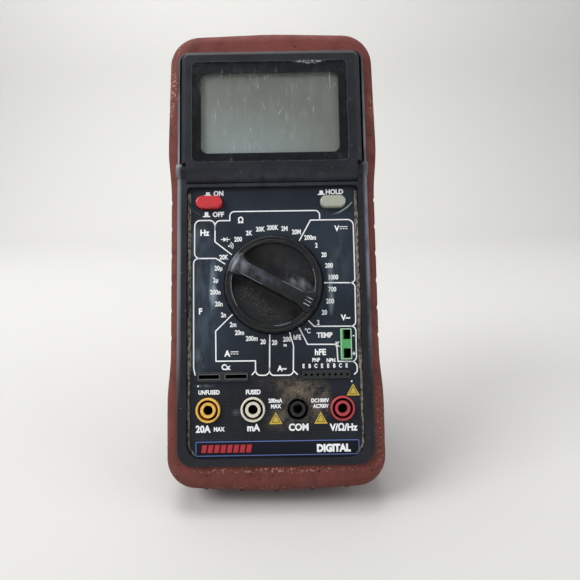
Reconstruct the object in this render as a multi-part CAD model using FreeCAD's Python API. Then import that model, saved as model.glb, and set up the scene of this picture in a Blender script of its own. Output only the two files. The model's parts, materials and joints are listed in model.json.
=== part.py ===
"""Bench multimeter with a flip-up display, in a rubber holster with a tilt stand.

The meter is drawn lying on its back: x to the right, y up its face, z out of its face, with y = 0 at
the case's lower end and z = 0 at the case's back. Every piece is then leaned back and set down so that
the heel of the holster is at the origin, the face looks to -Y and +Z is up.
"""
import FreeCAD, Part
import math
import os

V = FreeCAD.Vector

# Case
CASE_W = 84.0
CASE_H = 183.0
CASE_TOP_R = 5.0
CASE_FOOT_R = 7.0
SPLIT_Z = 13.0
RIM_Z = 32.0
WALL = 2.4
MID_Y = CASE_H / 2

# Printed panel, sunk into the case's rim
PANEL_Z = 30.0
PANEL_T = 0.6
PANEL_HALF = 37.7
PANEL_FOOT = 3.3
PANEL_TOP = 120.2
DECK_Z = 22.0

# Leaning back on the heel of the holster and the foot of the stand
LEAN = 20.0
HEEL_DROP = 10.0
STAND_OPEN = 32.0

# Holster
HOLSTER_BACK = -4.0
HOLSTER_FRONT = 30.0
HOLSTER_FOOT_Y = -12.0
HOLSTER_CORNER_X = 47.2
HOLSTER_CORNER_Y = -9.8

# Tilt stand
STAND_Y = 98.0
STAND_Z = -7.6
STAND_HALF = 30.0
STAND_T = 3.0
STAND_PIN_R = 1.5
STAND_BARREL_R = 3.2

# Flip-up display housing, turning about a line along x
LID_Y = 127.4
LID_Z = 30.5
LID_BARREL_R = 5.5
LID_FRONT_Z = 36.0
LID_BACK_Z = 22.6
LID_SPLIT_Z = 26.0
LID_HALF = 39.6
LID_NECK_HALF = 37.3
LID_FOOT = 130.0
LID_TOP = 180.9
LID_PIN_R = 1.5
EAR_R = 3.6
WINDOW_X = -0.5
LENS_W, LENS_H = 68.6, 45.9
LENS_Y = 152.8
VIEW_W, VIEW_H = 60.7, 36.6
VIEW_Y = 152.4
GLASS_W, GLASS_H = 64.4, 41.0

# Range knob
KNOB_Y = 76.7
KNOB_R = 20.9
KNOB_WELL_R = 21.9
KNOB_BACK = 28.8
KNOB_RIM_Z = 35.2
KNOB_BAR_Z = 37.0
KNOB_ANGLE = -28.6
BAR_W = 6.3
STEM_R = 4.0
POSITIONS = 30
ROTOR_R = 17.0
DETENT_R = 18.3

# Push buttons: centre, width, height
POWER_AT, POWER_SIZE = (-27.9, 113.4), (11.6, 5.6)
HOLD_AT, HOLD_SIZE = (26.6, 112.9), (11.2, 5.3)
BUTTON_TOP = 32.8

# Banana jacks on the 19 mm pitch
JACK_Y = 23.3
JACK_PITCH = 19.1
JACK_BORE_R = 2.0
JACK_SLEEVE_R = 2.6
JACK_SLEEVE_TOP = 29.6
JACK_POST_R = 3.25
JACK_GAP_R = 4.4
JACK_TUBE_R = 4.8
JACK_FLANGE_R = 5.2
JACK_NAMES = ("20a", "ma", "com", "volt")

# Component sockets
CX_SLOTS = ((-32.7, -23.85), (-21.3, -11.9))
CX_Y = (36.2, 38.4)
HFE_X, HFE_Y, HFE_PITCH, HFE_PINS = 13.27, 37.6, 2.54, 8
TEMP_X = (28.4, 33.2)
TEMP_Y = (43.9, 57.1)
TEMP_SLOTS = (46.5, 54.6)

# Main board and the things on it
BOARD_Z, BOARD_T = 14.0, 1.6
BOARD_TOP = BOARD_Z + BOARD_T
BOARD_FOOT, BOARD_HEAD, BOARD_HALF = 13.5, 118.0, 36.5
BOARD_SCREWS = [(sx * 33.5, y) for sx in (-1, 1) for y in (63.0, 98.0)]
CASE_SCREWS = [(sx * 34.0, y) for sx in (-1, 1) for y in (8.5, 176.0)]
LID_SCREWS = [(sx * 36.2, y) for sx in (-1, 1) for y in (138.0, 175.5)]
BATTERY = (-24.3, 22.3, 141.0, 167.5, 1.9, 19.2)
DOOR = (-26.4, 26.4, 137.0, 171.5)

GAP = 0.2


# ---- shape helpers -------------------------------------------------------------------------------

def box(x0, x1, y0, y1, z0, z1):
    return Part.makeBox(x1 - x0, y1 - y0, z1 - z0, V(x0, y0, z0))


def rod(x, y, radius, z0, z1):
    """Cylinder along z."""
    return Part.makeCylinder(radius, z1 - z0, V(x, y, z0), V(0, 0, 1))


def axle(y, z, radius, x0, x1):
    """Cylinder along x."""
    return Part.makeCylinder(radius, x1 - x0, V(x0, y, z), V(1, 0, 0))


def arc_corner(before, corner, after, radius):
    """Tangent arc that rounds a corner: its first point, its middle and its last point."""
    back = (before - corner).normalize()
    on = (after - corner).normalize()
    half = back.getAngle(on) / 2
    reach = radius / math.tan(half)
    centre = corner + (back + on).normalize() * (radius / math.sin(half))
    middle = centre + (corner - centre).normalize() * radius
    return corner + back * reach, middle, corner + on * reach


def outline(corners):
    """Closed wire through corners (x, y, radius), in the plane z = 0."""
    points = [V(x, y, 0) for x, y, radius in corners]
    rounds = []
    for i, (x, y, radius) in enumerate(corners):
        here = points[i]
        if radius:
            rounds.append(arc_corner(points[i - 1], here, points[(i + 1) % len(points)], radius))
        else:
            rounds.append((here, None, here))
    edges = []
    for i, (first, middle, last) in enumerate(rounds):
        start = rounds[i - 1][2]
        if start.distanceToPoint(first) > 1e-6:
            edges.append(Part.LineSegment(start, first).toShape())
        if middle:
            edges.append(Part.Arc(first, middle, last).toShape())
    return Part.Wire(edges)


def prism(corners, z0, z1):
    """Outline extruded along z."""
    solid = Part.Face(outline(corners)).extrude(V(0, 0, z1 - z0))
    solid.translate(V(0, 0, z0))
    return solid


def bar(corners, x0, x1):
    """Outline in the plane of y and z, extruded along x."""
    solid = Part.Face(outline(corners)).extrude(V(0, 0, x1 - x0))
    turn = FreeCAD.Rotation(V(0, 1, 0), V(0, 0, 1), V(1, 0, 0), "XYZ")
    solid.Placement = FreeCAD.Placement(V(x0, 0, 0), turn)
    return solid


def plate(x0, x1, y0, y1, foot_r, head_r, z0, z1):
    """Rectangle with one radius at its lower corners and another at its upper corners."""
    corners = [(x0, y0, foot_r), (x1, y0, foot_r), (x1, y1, head_r), (x0, y1, head_r)]
    return prism(corners, z0, z1)


def stadium(at, size, z0, z1):
    x, y = at
    half_w, half_h = size[0] / 2, size[1] / 2
    radius = half_h - 0.01
    return plate(x - half_w, x + half_w, y - half_h, y + half_h, radius, radius, z0, z1)


def grow(size, by):
    return size[0] + by, size[1] + by


def case_prism(inset, z0, z1):
    half = CASE_W / 2 - inset
    foot_r, head_r = max(CASE_FOOT_R - inset, 1), max(CASE_TOP_R - inset, 1)
    return plate(-half, half, inset, CASE_H - inset, foot_r, head_r, z0, z1)


def at_z(level):
    """Chooses the edges that lie in the plane z = level."""
    return lambda edge: abs(edge.BoundBox.ZMin - level) < 1e-4 and abs(edge.BoundBox.ZMax - level) < 1e-4


def rounded(shape, radius, chosen):
    return shape.makeFillet(radius, [edge for edge in shape.Edges if chosen(edge)])


def bevelled(shape, width, chosen):
    return shape.makeChamfer(width, [edge for edge in shape.Edges if chosen(edge)])


def fuse(shapes):
    first, rest = shapes[0], shapes[1:]
    return first.fuse(rest).removeSplitter() if rest else first


def cut(shape, tools):
    return shape.cut(tools)


def tube(points, radius, bend):
    """Wire of round section along straight runs joined by tangent arcs."""
    points = [V(*p) for p in points]
    edges = []
    start = points[0]
    for i in range(1, len(points) - 1):
        first, middle, last = arc_corner(points[i - 1], points[i], points[i + 1], bend)
        edges.append(Part.LineSegment(start, first).toShape())
        edges.append(Part.Arc(first, middle, last).toShape())
        start = last
    edges.append(Part.LineSegment(start, points[-1]).toShape())
    ring = Part.Wire([Part.makeCircle(radius, points[0], points[1] - points[0])])
    return Part.Wire(edges).makePipeShell([ring], True, False)


# ---- holster and stand ---------------------------------------------------------------------------

def holster_outline():
    """Waisted outline, wide at both ends, with slightly bowed ends."""
    right = [
        (0, HOLSTER_FOOT_Y, 200),
        (HOLSTER_CORNER_X, HOLSTER_CORNER_Y, 13),
        (47.4, 29, 100),
        (46.0, 44, 100),
        (46.0, 121, 100),
        (47.6, 137, 100),
        (46.4, 193.0, 14),
        (0, 194.5, 200),
    ]
    left = [(-x, y, radius) for x, y, radius in reversed(right[1:-1])]
    return right + left


def holster():
    body = prism(holster_outline(), HOLSTER_BACK, HOLSTER_FRONT)
    body = rounded(body, 5.5, at_z(HOLSTER_FRONT))
    body = rounded(body, 3.0, at_z(HOLSTER_BACK))
    additions = []
    for k in range(-2, 3):
        x = k * 15.2
        foot = HOLSTER_FOOT_Y + abs(x) * (HOLSTER_CORNER_Y - HOLSTER_FOOT_Y) / HOLSTER_CORNER_X - 0.8
        bump = plate(x - 1.4, x + 1.4, foot, -8, 1.2, 0.5, 12, 25)
        additions.append(rounded(bump, 0.8, at_z(25.0)))
    for side in (-1, 1):
        x0 = side * (STAND_HALF + 3.2) - 2.8
        additions.append(axle(STAND_Y, STAND_Z, STAND_BARREL_R, x0, x0 + 5.6))
        additions.append(box(x0, x0 + 5.6, STAND_Y - 3.2, STAND_Y + 3.2, STAND_Z, HOLSTER_BACK + 0.5))
    body = fuse([body] + additions)
    half = CASE_W / 2 + 0.2
    pocket = plate(-half, half, -0.2, CASE_H + 0.2, CASE_FOOT_R, CASE_TOP_R, 0, RIM_Z + 5)
    grooves = [rod(side * 46.9, 54 + 12.1 * k, 1.7, HOLSTER_BACK + 6, RIM_Z)
               for side in (-1, 1) for k in range(6)]
    pin_hole = axle(STAND_Y, STAND_Z, STAND_PIN_R + 0.05, -50, 50)
    return cut(body, [pocket, pin_hole] + grooves)


def tilt_stand():
    """Drawn folded flat against the back, then opened about its pin."""
    y, z, half_t = STAND_Y, STAND_Z, STAND_T / 2
    leaf = plate(-STAND_HALF, STAND_HALF, y - 107, y, 4, 0.5, z - half_t, z + half_t)
    tail = box(-STAND_HALF, STAND_HALF, y, y + 3.6, z - half_t, z + half_t)
    barrel = axle(y, z, STAND_BARREL_R, -STAND_HALF, STAND_HALF)
    ribs = [box(sx - 1, sx + 1, y - 96, y - 2, z - half_t - 1.2, z) for sx in (-24, -8, 8, 24)]
    body = fuse([leaf, tail, barrel] + ribs)
    recess = plate(-20, 20, y - 92, y - 70, 4, 4, z + half_t - 0.8, z + half_t + 1)
    body = cut(body, [recess, axle(y, z, STAND_PIN_R + 0.06, -50, 50)])
    body.rotate(V(0, y, z), V(1, 0, 0), STAND_OPEN)
    return body


def stand_hinge_pin():
    end = STAND_HALF + 3.2 + 2.6
    return axle(STAND_Y, STAND_Z, STAND_PIN_R, -end, end)


# ---- case ----------------------------------------------------------------------------------------

def rear_shell():
    shell = rounded(case_prism(0, 0, SPLIT_Z), 2.5, at_z(0))
    shell = cut(shell, [case_prism(WALL, 2, SPLIT_Z + 1)])
    bosses = [rod(x, y, 4.2, 1, SPLIT_Z) for x, y in CASE_SCREWS]
    x0, x1, y0, y1 = DOOR
    bay = cut(box(x0 - 4, x1 + 7, y0 - 3, y1 + 3, 1, 11),
              [box(x0 - 2.5, x1 + 5.5, y0 - 1.5, y1 + 1.5, 0, 12)])
    shell = fuse([shell, bay] + bosses)
    holes = [rod(x, y, 1.7, -1, SPLIT_Z + 1) for x, y in CASE_SCREWS]
    heads = [rod(x, y, 3.3, -1, 5) for x, y in CASE_SCREWS]
    door = plate(x0 - GAP, x1 + GAP, y0 - GAP, y1 + GAP, 2, 2, -1, 3)
    lead_gap = box(22, 30, y0 - 4, y0, 5, 12)
    return cut(shell, holes + heads + [door, lead_gap])


def battery_door():
    x0, x1, y0, y1 = DOOR
    door = plate(x0, x1, y0, y1, 1.8, 1.8, 0.1, 1.7)
    grips = [box(-8, 8, y1 - 8 + 2 * k, y1 - 7.2 + 2 * k, 0, 0.6) for k in range(3)]
    return cut(door, grips + [rod(0, y0 + 4, 1.2, -1, 3)])


def battery_door_screw():
    y = DOOR[2] + 4
    return cut(rod(0, y, 1.15, 0.15, 1.65), [box(-0.9, 0.9, y - 0.2, y + 0.2, 0, 0.5)])


def lid_bay():
    """Room in the front shell for the display housing and its barrel."""
    wide = plate(-40.8, 40.8, 129.6, 181.6, 1, 4, DECK_Z, RIM_Z + 5)
    neck = box(-LID_NECK_HALF - 0.3, LID_NECK_HALF + 0.3, 121.6, 131, DECK_Z, RIM_Z + 5)
    return [wide, neck]


def panel_holes(z0, z1):
    """Everything that passes through the printed panel and the wall behind it."""
    tools = [rod(x, JACK_Y, JACK_TUBE_R + 0.05, z0, z1) for x in jack_places()]
    tools.append(stadium(POWER_AT, grow(POWER_SIZE, 0.5), z0, z1))
    tools.append(stadium(HOLD_AT, grow(HOLD_SIZE, 0.5), z0, z1))
    tools.append(box(CX_SLOTS[0][0] - 0.4, CX_SLOTS[1][1] + 0.4, CX_Y[0] - 0.7, CX_Y[1] + 0.5, z0, z1))
    hfe_end = HFE_X + (HFE_PINS - 1) * HFE_PITCH
    tools.append(box(HFE_X - 1.1, hfe_end + 1.1, HFE_Y - 1.4, HFE_Y + 1.4, z0, z1))
    tools.append(box(TEMP_X[0] + 0.5, TEMP_X[1] - 0.5, TEMP_Y[0] + 0.5, TEMP_Y[1] - 0.5, z0, z1))
    return tools


def front_shell():
    shell = rounded(case_prism(0, SPLIT_Z, RIM_Z), 1.2, at_z(RIM_Z))
    half = CASE_W / 2 - WALL
    board_bay = plate(-half, half, WALL, 118.6, 4, 1, SPLIT_Z - 1, 27)
    battery_bay = plate(-half, half, 110, CASE_H - WALL, 1, 3, SPLIT_Z - 1, 20)
    sink = plate(-PANEL_HALF, PANEL_HALF, PANEL_FOOT, PANEL_TOP, 6.5, 2, PANEL_Z - PANEL_T, RIM_Z + 1)
    well = rod(0, KNOB_Y, KNOB_WELL_R, 28.4, RIM_Z)
    shell = cut(shell, [board_bay, battery_bay, sink, well] + lid_bay())
    ears = [axle(LID_Y, LID_Z, EAR_R, x, x + 4.4) for x in (-CASE_W / 2, CASE_W / 2 - 4.4)]
    bosses = [rod(x, y, 3.0, BOARD_TOP + 0.1, 27.5) for x, y in BOARD_SCREWS]
    bosses += [rod(x, y, 4.2, SPLIT_Z, 27.5 if y < MID_Y else 20.5) for x, y in CASE_SCREWS]
    ring = cut(rod(0, KNOB_Y, DETENT_R + 2.2, 18.5, 27.5), [rod(0, KNOB_Y, DETENT_R, 18, 28)])
    collar = rod(0, KNOB_Y, 6.4, 26.6, 27.5)
    shell = fuse([shell, ring, collar] + ears + bosses)
    notches = []
    for k in range(POSITIONS):
        angle = math.radians(360 / POSITIONS * k + KNOB_ANGLE)
        place = (DETENT_R + 0.6) * math.cos(angle), KNOB_Y + (DETENT_R + 0.6) * math.sin(angle)
        notches.append(rod(*place, 1.1, 18, 22.5))
    holes = [rod(x, y, 1.3, BOARD_TOP, 24) for x, y in BOARD_SCREWS]
    holes += [rod(x, y, 1.55, SPLIT_Z - 1, 24 if y < MID_Y else 20.8) for x, y in CASE_SCREWS]
    pins = axle(LID_Y, LID_Z, LID_PIN_R + 0.04, -CASE_W / 2 + 0.9, CASE_W / 2 - 0.9)
    stem = rod(0, KNOB_Y, STEM_R + 0.08, 20, 30)
    cable = box(-8, 8, 125.6, 129.2, 19, DECK_Z + 1)
    return cut(shell, notches + holes + [pins, stem, cable] + panel_holes(25, 31))


def faceplate():
    z0 = PANEL_Z - PANEL_T
    half = PANEL_HALF - GAP
    sheet = plate(-half, half, PANEL_FOOT + GAP, PANEL_TOP - GAP, 6.3, 1.8, z0, PANEL_Z)
    return cut(sheet, [rod(0, KNOB_Y, KNOB_WELL_R, z0 - 1, PANEL_Z + 1)] + panel_holes(z0 - 1, PANEL_Z + 1))


def screws(places, head_r, head_z, shank_r, shank_end):
    """Pan-head screws driven towards +z, as a group of separate solids."""
    head0, head1 = head_z
    group = []
    for x, y in places:
        screw = fuse([rod(x, y, head_r, head0, head1), rod(x, y, shank_r, head1 - 0.1, shank_end)])
        slots = [box(x - a, x + a, y - b, y + b, head0 - 1, head0 + 0.6) for a, b in ((1.4, 0.3), (0.3, 1.4))]
        group.append(cut(screw, slots))
    return Part.makeCompound(group)


# ---- flip-up display -----------------------------------------------------------------------------

def window(width, height, y, radius, z0, z1):
    half = width / 2
    return plate(WINDOW_X - half, WINDOW_X + half, y - height / 2, y + height / 2, radius, radius, z0, z1)


def lid_front():
    wide = plate(-LID_HALF, LID_HALF, LID_FOOT, LID_TOP, 0, 3.5, LID_SPLIT_Z, LID_FRONT_Z)
    wide = bevelled(wide, 2.2, lambda e: at_z(LID_FRONT_Z)(e) and e.BoundBox.YMax > LID_FOOT + 1)
    ear_room = [axle(LID_Y, LID_Z, EAR_R + 0.4, x, x + 6) for x in (-43.4, 37.4)]
    wide = cut(wide, ear_room)
    neck = box(-LID_NECK_HALF, LID_NECK_HALF, LID_Y, LID_FOOT + 1, LID_SPLIT_Z, LID_FRONT_Z)
    barrel = axle(LID_Y, LID_Z, LID_BARREL_R, -LID_NECK_HALF, LID_NECK_HALF)
    body = fuse([wide, neck, barrel])
    cavity = plate(-38.2, 38.2, 133.2, LID_TOP - 2.2, 2, 2, LID_SPLIT_Z - 1, 33.4)
    display_foot = plate(-34.4, 33.4, 130.6, 140, 1, 1, LID_SPLIT_Z + 1.4, 33.4)
    body = cut(body, [cavity, display_foot])
    bosses = [rod(x, y, 1.9, 27, 33.6) for x, y in LID_SCREWS]
    body = fuse([body] + bosses)
    recess = window(LENS_W + 0.2, LENS_H + 0.2, LENS_Y, 2.6, 34.7, LID_FRONT_Z + 1)
    opening = window(VIEW_W + 1.2, VIEW_H + 1.2, VIEW_Y, 3, 33, 35)
    pins = axle(LID_Y, LID_Z, LID_PIN_R + 0.06, -45, -31)
    pins = [pins, axle(LID_Y, LID_Z, LID_PIN_R + 0.06, 31, 45)]
    holes = [rod(x, y, 1.05, 26, 32) for x, y in LID_SCREWS]
    return cut(body, [recess, opening, cable_room()] + pins + holes)


def cable_room():
    """Hollow of the barrel where the flat cable comes in, wide enough for the lid's whole swing."""
    corners = [(LID_Y, LID_Z + 1, 0)]
    for degrees in (-60, -115, -170):
        angle = math.radians(degrees)
        corners.append((LID_Y + 9 * math.cos(angle), LID_Z + 9 * math.sin(angle), 0))
    return bar(corners, -9, 9).fuse(axle(LID_Y, LID_Z, 3.4, -9, 9))


def lid_back():
    cover = plate(-LID_HALF, LID_HALF, 133.2, LID_TOP, 2, 3.5, LID_BACK_Z, LID_SPLIT_Z)
    cover = bevelled(cover, 1.5, at_z(LID_BACK_Z))
    inside = plate(-38.2, 38.2, 135.4, LID_TOP - 2.2, 2, 2, 24.4, LID_SPLIT_Z + 1)
    cover = cut(cover, [inside])
    pads = [rod(x, y, 2.6, 24, LID_SPLIT_Z) for x, y in LID_SCREWS]
    cover = fuse([cover] + pads)
    holes = [rod(x, y, 1.15, 20, 30) for x, y in LID_SCREWS]
    heads = [rod(x, y, 2.1, 20, 24) for x, y in LID_SCREWS]
    return cut(cover, holes + heads)


def lcd_holder():
    frame = window(66.6, 43.2, VIEW_Y, 1.5, 29.4, 33.2)
    return cut(frame, [window(GLASS_W + 0.2, GLASS_H + 0.2, VIEW_Y, 0.8, 29, 34)])


def zebra_strips():
    strips = []
    for side in (-1, 1):
        y = VIEW_Y + side * (GLASS_H / 2 - 1.6)
        strips.append(box(WINDOW_X - 28, WINDOW_X + 28, y - 1.2, y + 1.2, 29.2, 30.6))
    return Part.makeCompound(strips)


def display_board():
    board = window(66.0, 42.6, VIEW_Y, 1, 28.0, 29.2)
    chip = box(WINDOW_X - 6, WINDOW_X + 6, VIEW_Y - 6, VIEW_Y + 6, 26.6, 28.05)
    return fuse([board, chip])


def lid_hinge_pins():
    return Part.makeCompound([axle(LID_Y, LID_Z, LID_PIN_R, x, x + 9) for x in (-41, 32)])


def display_flex():
    """Flat cable from the main board up to the middle of the hinge barrel."""
    low, high, thick = BOARD_TOP + 0.05, 29.0, 0.3
    start = 115.5
    path = [(start, low, 0), (LID_Y + 0.15, low, 2.3), (LID_Y + 0.15, high, 0), (LID_Y - 0.15, high, 0),
            (LID_Y - 0.15, low + thick, 2.0), (start, low + thick, 0)]
    return bar(path, -7, 7)


# ---- range knob ----------------------------------------------------------------------------------

def knob_scoop(side):
    """Dished D-shaped hollow on one side of the grip bar."""
    inner, rim = BAR_W / 2, 19.2
    reach = math.sqrt(rim ** 2 - inner ** 2)
    chord = Part.LineSegment(V(-reach, side * inner, 0), V(reach, side * inner, 0)).toShape()
    arch = Part.Arc(V(reach, side * inner, 0), V(0, side * rim, 0), V(-reach, side * inner, 0)).toShape()
    hollow = Part.Face(Part.Wire([chord, arch])).extrude(V(0, 0, 12))
    hollow.translate(V(0, 0, 31.0))
    hollow = hollow.makeFillet(2.2, [e for e in hollow.Edges if e.BoundBox.ZLength > 10])
    dish = Part.makeSphere(26, V(0, side * 10.2, 31.2 + 26))
    return hollow.common(dish)


def selector_knob():
    disc = Part.makeCylinder(KNOB_R, KNOB_RIM_Z - KNOB_BACK, V(0, 0, KNOB_BACK))
    disc = rounded(disc, 1.3, at_z(KNOB_RIM_Z))
    crest = [(-20.3, KNOB_RIM_Z - 1, 0), (20.3, KNOB_RIM_Z - 1, 0), (20.3, KNOB_RIM_Z - 0.2, 0),
             (13, KNOB_BAR_Z, 20), (-13, KNOB_BAR_Z, 20), (-20.3, KNOB_RIM_Z - 0.2, 0)]
    ridge = Part.Face(outline(crest)).extrude(V(0, 0, BAR_W))
    turn = FreeCAD.Rotation(V(1, 0, 0), V(0, 0, 1), V(0, -1, 0), "XYZ")
    ridge.Placement = FreeCAD.Placement(V(0, BAR_W / 2, 0), turn)
    knob = fuse([disc, ridge, rod(0, 0, STEM_R, 19.4, KNOB_BACK + 1)])
    knob = cut(knob, [knob_scoop(1), knob_scoop(-1)])
    hollow = cut(rod(0, 0, KNOB_R - 1.8, KNOB_BACK - 1, 30.0), [rod(0, 0, STEM_R, 20, 40)])
    knob = cut(knob, [hollow])
    knob.rotate(V(0, 0, 0), V(0, 0, 1), KNOB_ANGLE)
    knob.translate(V(0, KNOB_Y, 0))
    return knob


def turned(shape, degrees):
    """Piece drawn along +x from the knob's axis, turned about it and moved to it."""
    moved = shape.copy()
    moved.rotate(V(0, 0, 0), V(0, 0, 1), degrees)
    moved.translate(V(0, KNOB_Y, 0))
    return moved


def knob_rotor():
    disc = fuse([rod(0, 0, ROTOR_R, 17.8, 22), rod(0, 0, 6.0, 17.8, 26.2)])
    pockets = [box(8.5, ROTOR_R + 1, -1.6, 1.6, 18.4, 21.6), box(-ROTOR_R - 1, -8.5, -1.6, 1.6, 18.4, 21.6)]
    return turned(cut(disc, pockets + [rod(0, 0, STEM_R + 0.04, 19.2, 27)]), KNOB_ANGLE)


def detent_balls():
    balls = [Part.makeSphere(1.45, V(side * (DETENT_R - 1.7), 0, 20)) for side in (-1, 1)]
    return turned(Part.makeCompound(balls), KNOB_ANGLE)


def detent_springs():
    """Folded strip springs that push the balls outwards."""
    start, end, folds, swing, strip = 8.7, 14.9, 6, 2.2, 0.8
    pitch = (end - start) / folds
    near = [(start + pitch * k, -1.5 + swing * (k % 2), 0) for k in range(folds + 1)]
    far = [(x, y + strip, 0) for x, y, radius in reversed(near)]
    spring = prism(near + far, 19, 21)
    return Part.makeCompound([turned(spring, KNOB_ANGLE + side) for side in (0, 180)])


def wiper_contacts():
    group = []
    for place, degrees in ((7.5, 0), (10.5, 120), (13.5, 240)):
        spring = bar([(-3, 17.5, 0), (-1, 16.2, 1), (1, 16.2, 1), (3, 17.5, 0), (3, 17.8, 0),
                      (1, 16.5, 1), (-1, 16.5, 1), (-3, 17.8, 0)], place - 0.8, place + 0.8)
        group.append(turned(spring, degrees + KNOB_ANGLE))
    return Part.makeCompound(group)


# ---- push buttons --------------------------------------------------------------------------------

def push_button(at, size):
    """Cap with a flange that stops behind the front wall, and a square stem down into its switch."""
    cap = rounded(stadium(at, size, 26.6, BUTTON_TOP), 0.9, at_z(BUTTON_TOP))
    flange = stadium(at, grow(size, 1.8), 25.2, 26.7)
    x, y = at
    stem = box(x - 1.5, x + 1.5, y - 1.5, y + 1.5, BOARD_TOP + 3.4, 25.4)
    return fuse([cap, flange, stem])


def push_switch(at):
    x, y = at
    housing = box(x - 4, x + 4, y - 4, y + 4, BOARD_TOP, 21.6)
    pins = [rod(x + dx, y + dy, 0.4, BOARD_Z - 1.5, BOARD_TOP + 0.1)
            for dx in (-2.5, 2.5) for dy in (-2.5, 2.5)]
    return cut(fuse([housing] + pins), [box(x - 1.7, x + 1.7, y - 1.7, y + 1.7, BOARD_TOP + 0.5, 23)])


# ---- jacks and sockets ---------------------------------------------------------------------------

def jack_places():
    return [(k - 1.5) * JACK_PITCH for k in range(4)]


def jack_shroud(x):
    flange = rounded(rod(x, JACK_Y, JACK_FLANGE_R, PANEL_Z, 31.5), 0.4, at_z(31.5))
    body = fuse([flange, rod(x, JACK_Y, JACK_TUBE_R, 17, PANEL_Z + 0.5)])
    gap = cut(rod(x, JACK_Y, JACK_GAP_R, 20, 33), [rod(x, JACK_Y, JACK_POST_R, 19, 31.0)])
    seat = rod(x, JACK_Y, JACK_SLEEVE_R + 0.03, 16, JACK_SLEEVE_TOP + 0.1)
    return cut(body, [gap, seat, rod(x, JACK_Y, JACK_BORE_R + 0.1, 16, 33)])


def jack_contact(x):
    sleeve = rod(x, JACK_Y, JACK_SLEEVE_R, 11, JACK_SLEEVE_TOP)
    return cut(sleeve, [rod(x, JACK_Y, JACK_BORE_R, 12.2, 32)])


def cx_socket():
    x0, x1 = CX_SLOTS[0][0], CX_SLOTS[1][1]
    y0, y1 = CX_Y
    rim = rounded(box(x0 - 0.9, x1 + 0.4, y0 - 1.0, y1 + 0.8, PANEL_Z, 30.8), 0.3, at_z(30.8))
    body = fuse([rim, box(x0 - 0.3, x1 + 0.3, y0 - 0.6, y1 + 0.4, 23, PANEL_Z + 0.1)])
    return cut(body, [box(a, b, y0, y1, 22, 32) for a, b in CX_SLOTS])


def cx_contacts():
    strips = []
    for a, b in CX_SLOTS:
        for y, lean in ((CX_Y[0] + 0.1, 1), (CX_Y[1] - 0.1, -1)):
            leaf = bar([(y, BOARD_TOP, 0), (y + lean * 0.25, BOARD_TOP, 0), (y + lean * 0.25, 22.5, 0),
                        (y + lean * 0.75, 26, 0), (y + lean * 0.3, 28.2, 0), (y, 28.2, 0),
                        (y + lean * 0.45, 26, 0),
                        (y, 22.5, 0)], a + 1.5, b - 1.5)
            strips.append(leaf)
    return Part.makeCompound(strips)


def hfe_places():
    return [HFE_X + k * HFE_PITCH for k in range(HFE_PINS)]


def hfe_socket():
    x0, x1 = hfe_places()[0], hfe_places()[-1]
    rim = rounded(box(x0 - 1.55, x1 + 1.55, HFE_Y - 1.75, HFE_Y + 1.75, PANEL_Z, 31.0), 0.3, at_z(31.0))
    body = fuse([rim, box(x0 - 1.0, x1 + 1.0, HFE_Y - 1.3, HFE_Y + 1.3, 22, PANEL_Z + 0.1)])
    return cut(body, [rod(x, HFE_Y, 0.55, 20, 32) for x in hfe_places()])


def hfe_contacts():
    return Part.makeCompound([rod(x, HFE_Y, 0.4, BOARD_TOP, 25) for x in hfe_places()])


def temp_socket():
    (x0, x1), (y0, y1) = TEMP_X, TEMP_Y
    rim = rounded(box(x0, x1, y0, y1, PANEL_Z, 31.6), 0.4, at_z(31.6))
    body = fuse([rim, box(x0 + 0.6, x1 - 0.6, y0 + 0.6, y1 - 0.6, 22, PANEL_Z + 0.1)])
    return cut(body, [box(x0 + 1.2, x1 + 1, y - 2.1, y + 2.1, 21, 33) for y in TEMP_SLOTS])


def temp_contacts():
    x = TEMP_X[0] + 1.4
    return Part.makeCompound([box(x, x + 0.5, y - 1.3, y + 1.3, BOARD_TOP, 30.2) for y in TEMP_SLOTS])


# ---- main board ----------------------------------------------------------------------------------

def main_board():
    board = plate(-BOARD_HALF, BOARD_HALF, BOARD_FOOT, BOARD_HEAD, 3, 3, BOARD_Z, BOARD_TOP)
    holes = [rod(x, JACK_Y, JACK_SLEEVE_R + 0.05, 10, 20) for x in jack_places()]
    holes += [rod(x, y, 1.5, 10, 20) for x, y in BOARD_SCREWS]
    for x, y in (POWER_AT, HOLD_AT):
        holes += [rod(x + dx, y + dy, 0.45, 10, 20) for dx in (-2.5, 2.5) for dy in (-2.5, 2.5)]
    return cut(board, holes)


def adc_chip():
    """Measuring chip in a two-row package, on the front of the board above the knob."""
    package = box(-18, 18, 103, 114, BOARD_TOP + 0.5, BOARD_TOP + 4)
    legs = []
    for k in range(14):
        x = -16.9 + 2.6 * k
        legs += [box(x - 0.3, x + 0.3, 102.2, 103.2, BOARD_TOP, BOARD_TOP + 2)]
        legs += [box(x - 0.3, x + 0.3, 113.8, 114.8, BOARD_TOP, BOARD_TOP + 2)]
    return fuse([package] + legs)


def fuse_link():
    """Glass fuse with two end caps, lying along x behind the board."""
    glass = axle(33, 9.2, 2.3, -27, -7)
    return fuse([glass, axle(33, 9.2, 2.6, -27.5, -22.5), axle(33, 9.2, 2.6, -11.5, -6.5)])


def fuse_clips():
    clips = []
    for x in (-25, -9):
        clip = cut(box(x - 1.6, x + 1.6, 29.6, 36.4, 7.4, BOARD_Z), [axle(33, 9.2, 2.63, x - 3, x + 3)])
        clips.append(cut(clip, [box(x - 3, x + 3, 31, 35, 5, 9)]))
    return Part.makeCompound(clips)


def current_shunt():
    """Thick wire bowed between two pads behind the board."""
    return tube([(-31, 16, BOARD_Z), (-31, 16, 5.5), (-17, 16, 5.5), (-17, 16, BOARD_Z)], 0.9, 4)


def buzzer():
    return cut(rod(-22, 95, 7, 9.2, BOARD_Z), [rod(-22, 95, 1, 8, 10.5)])


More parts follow.
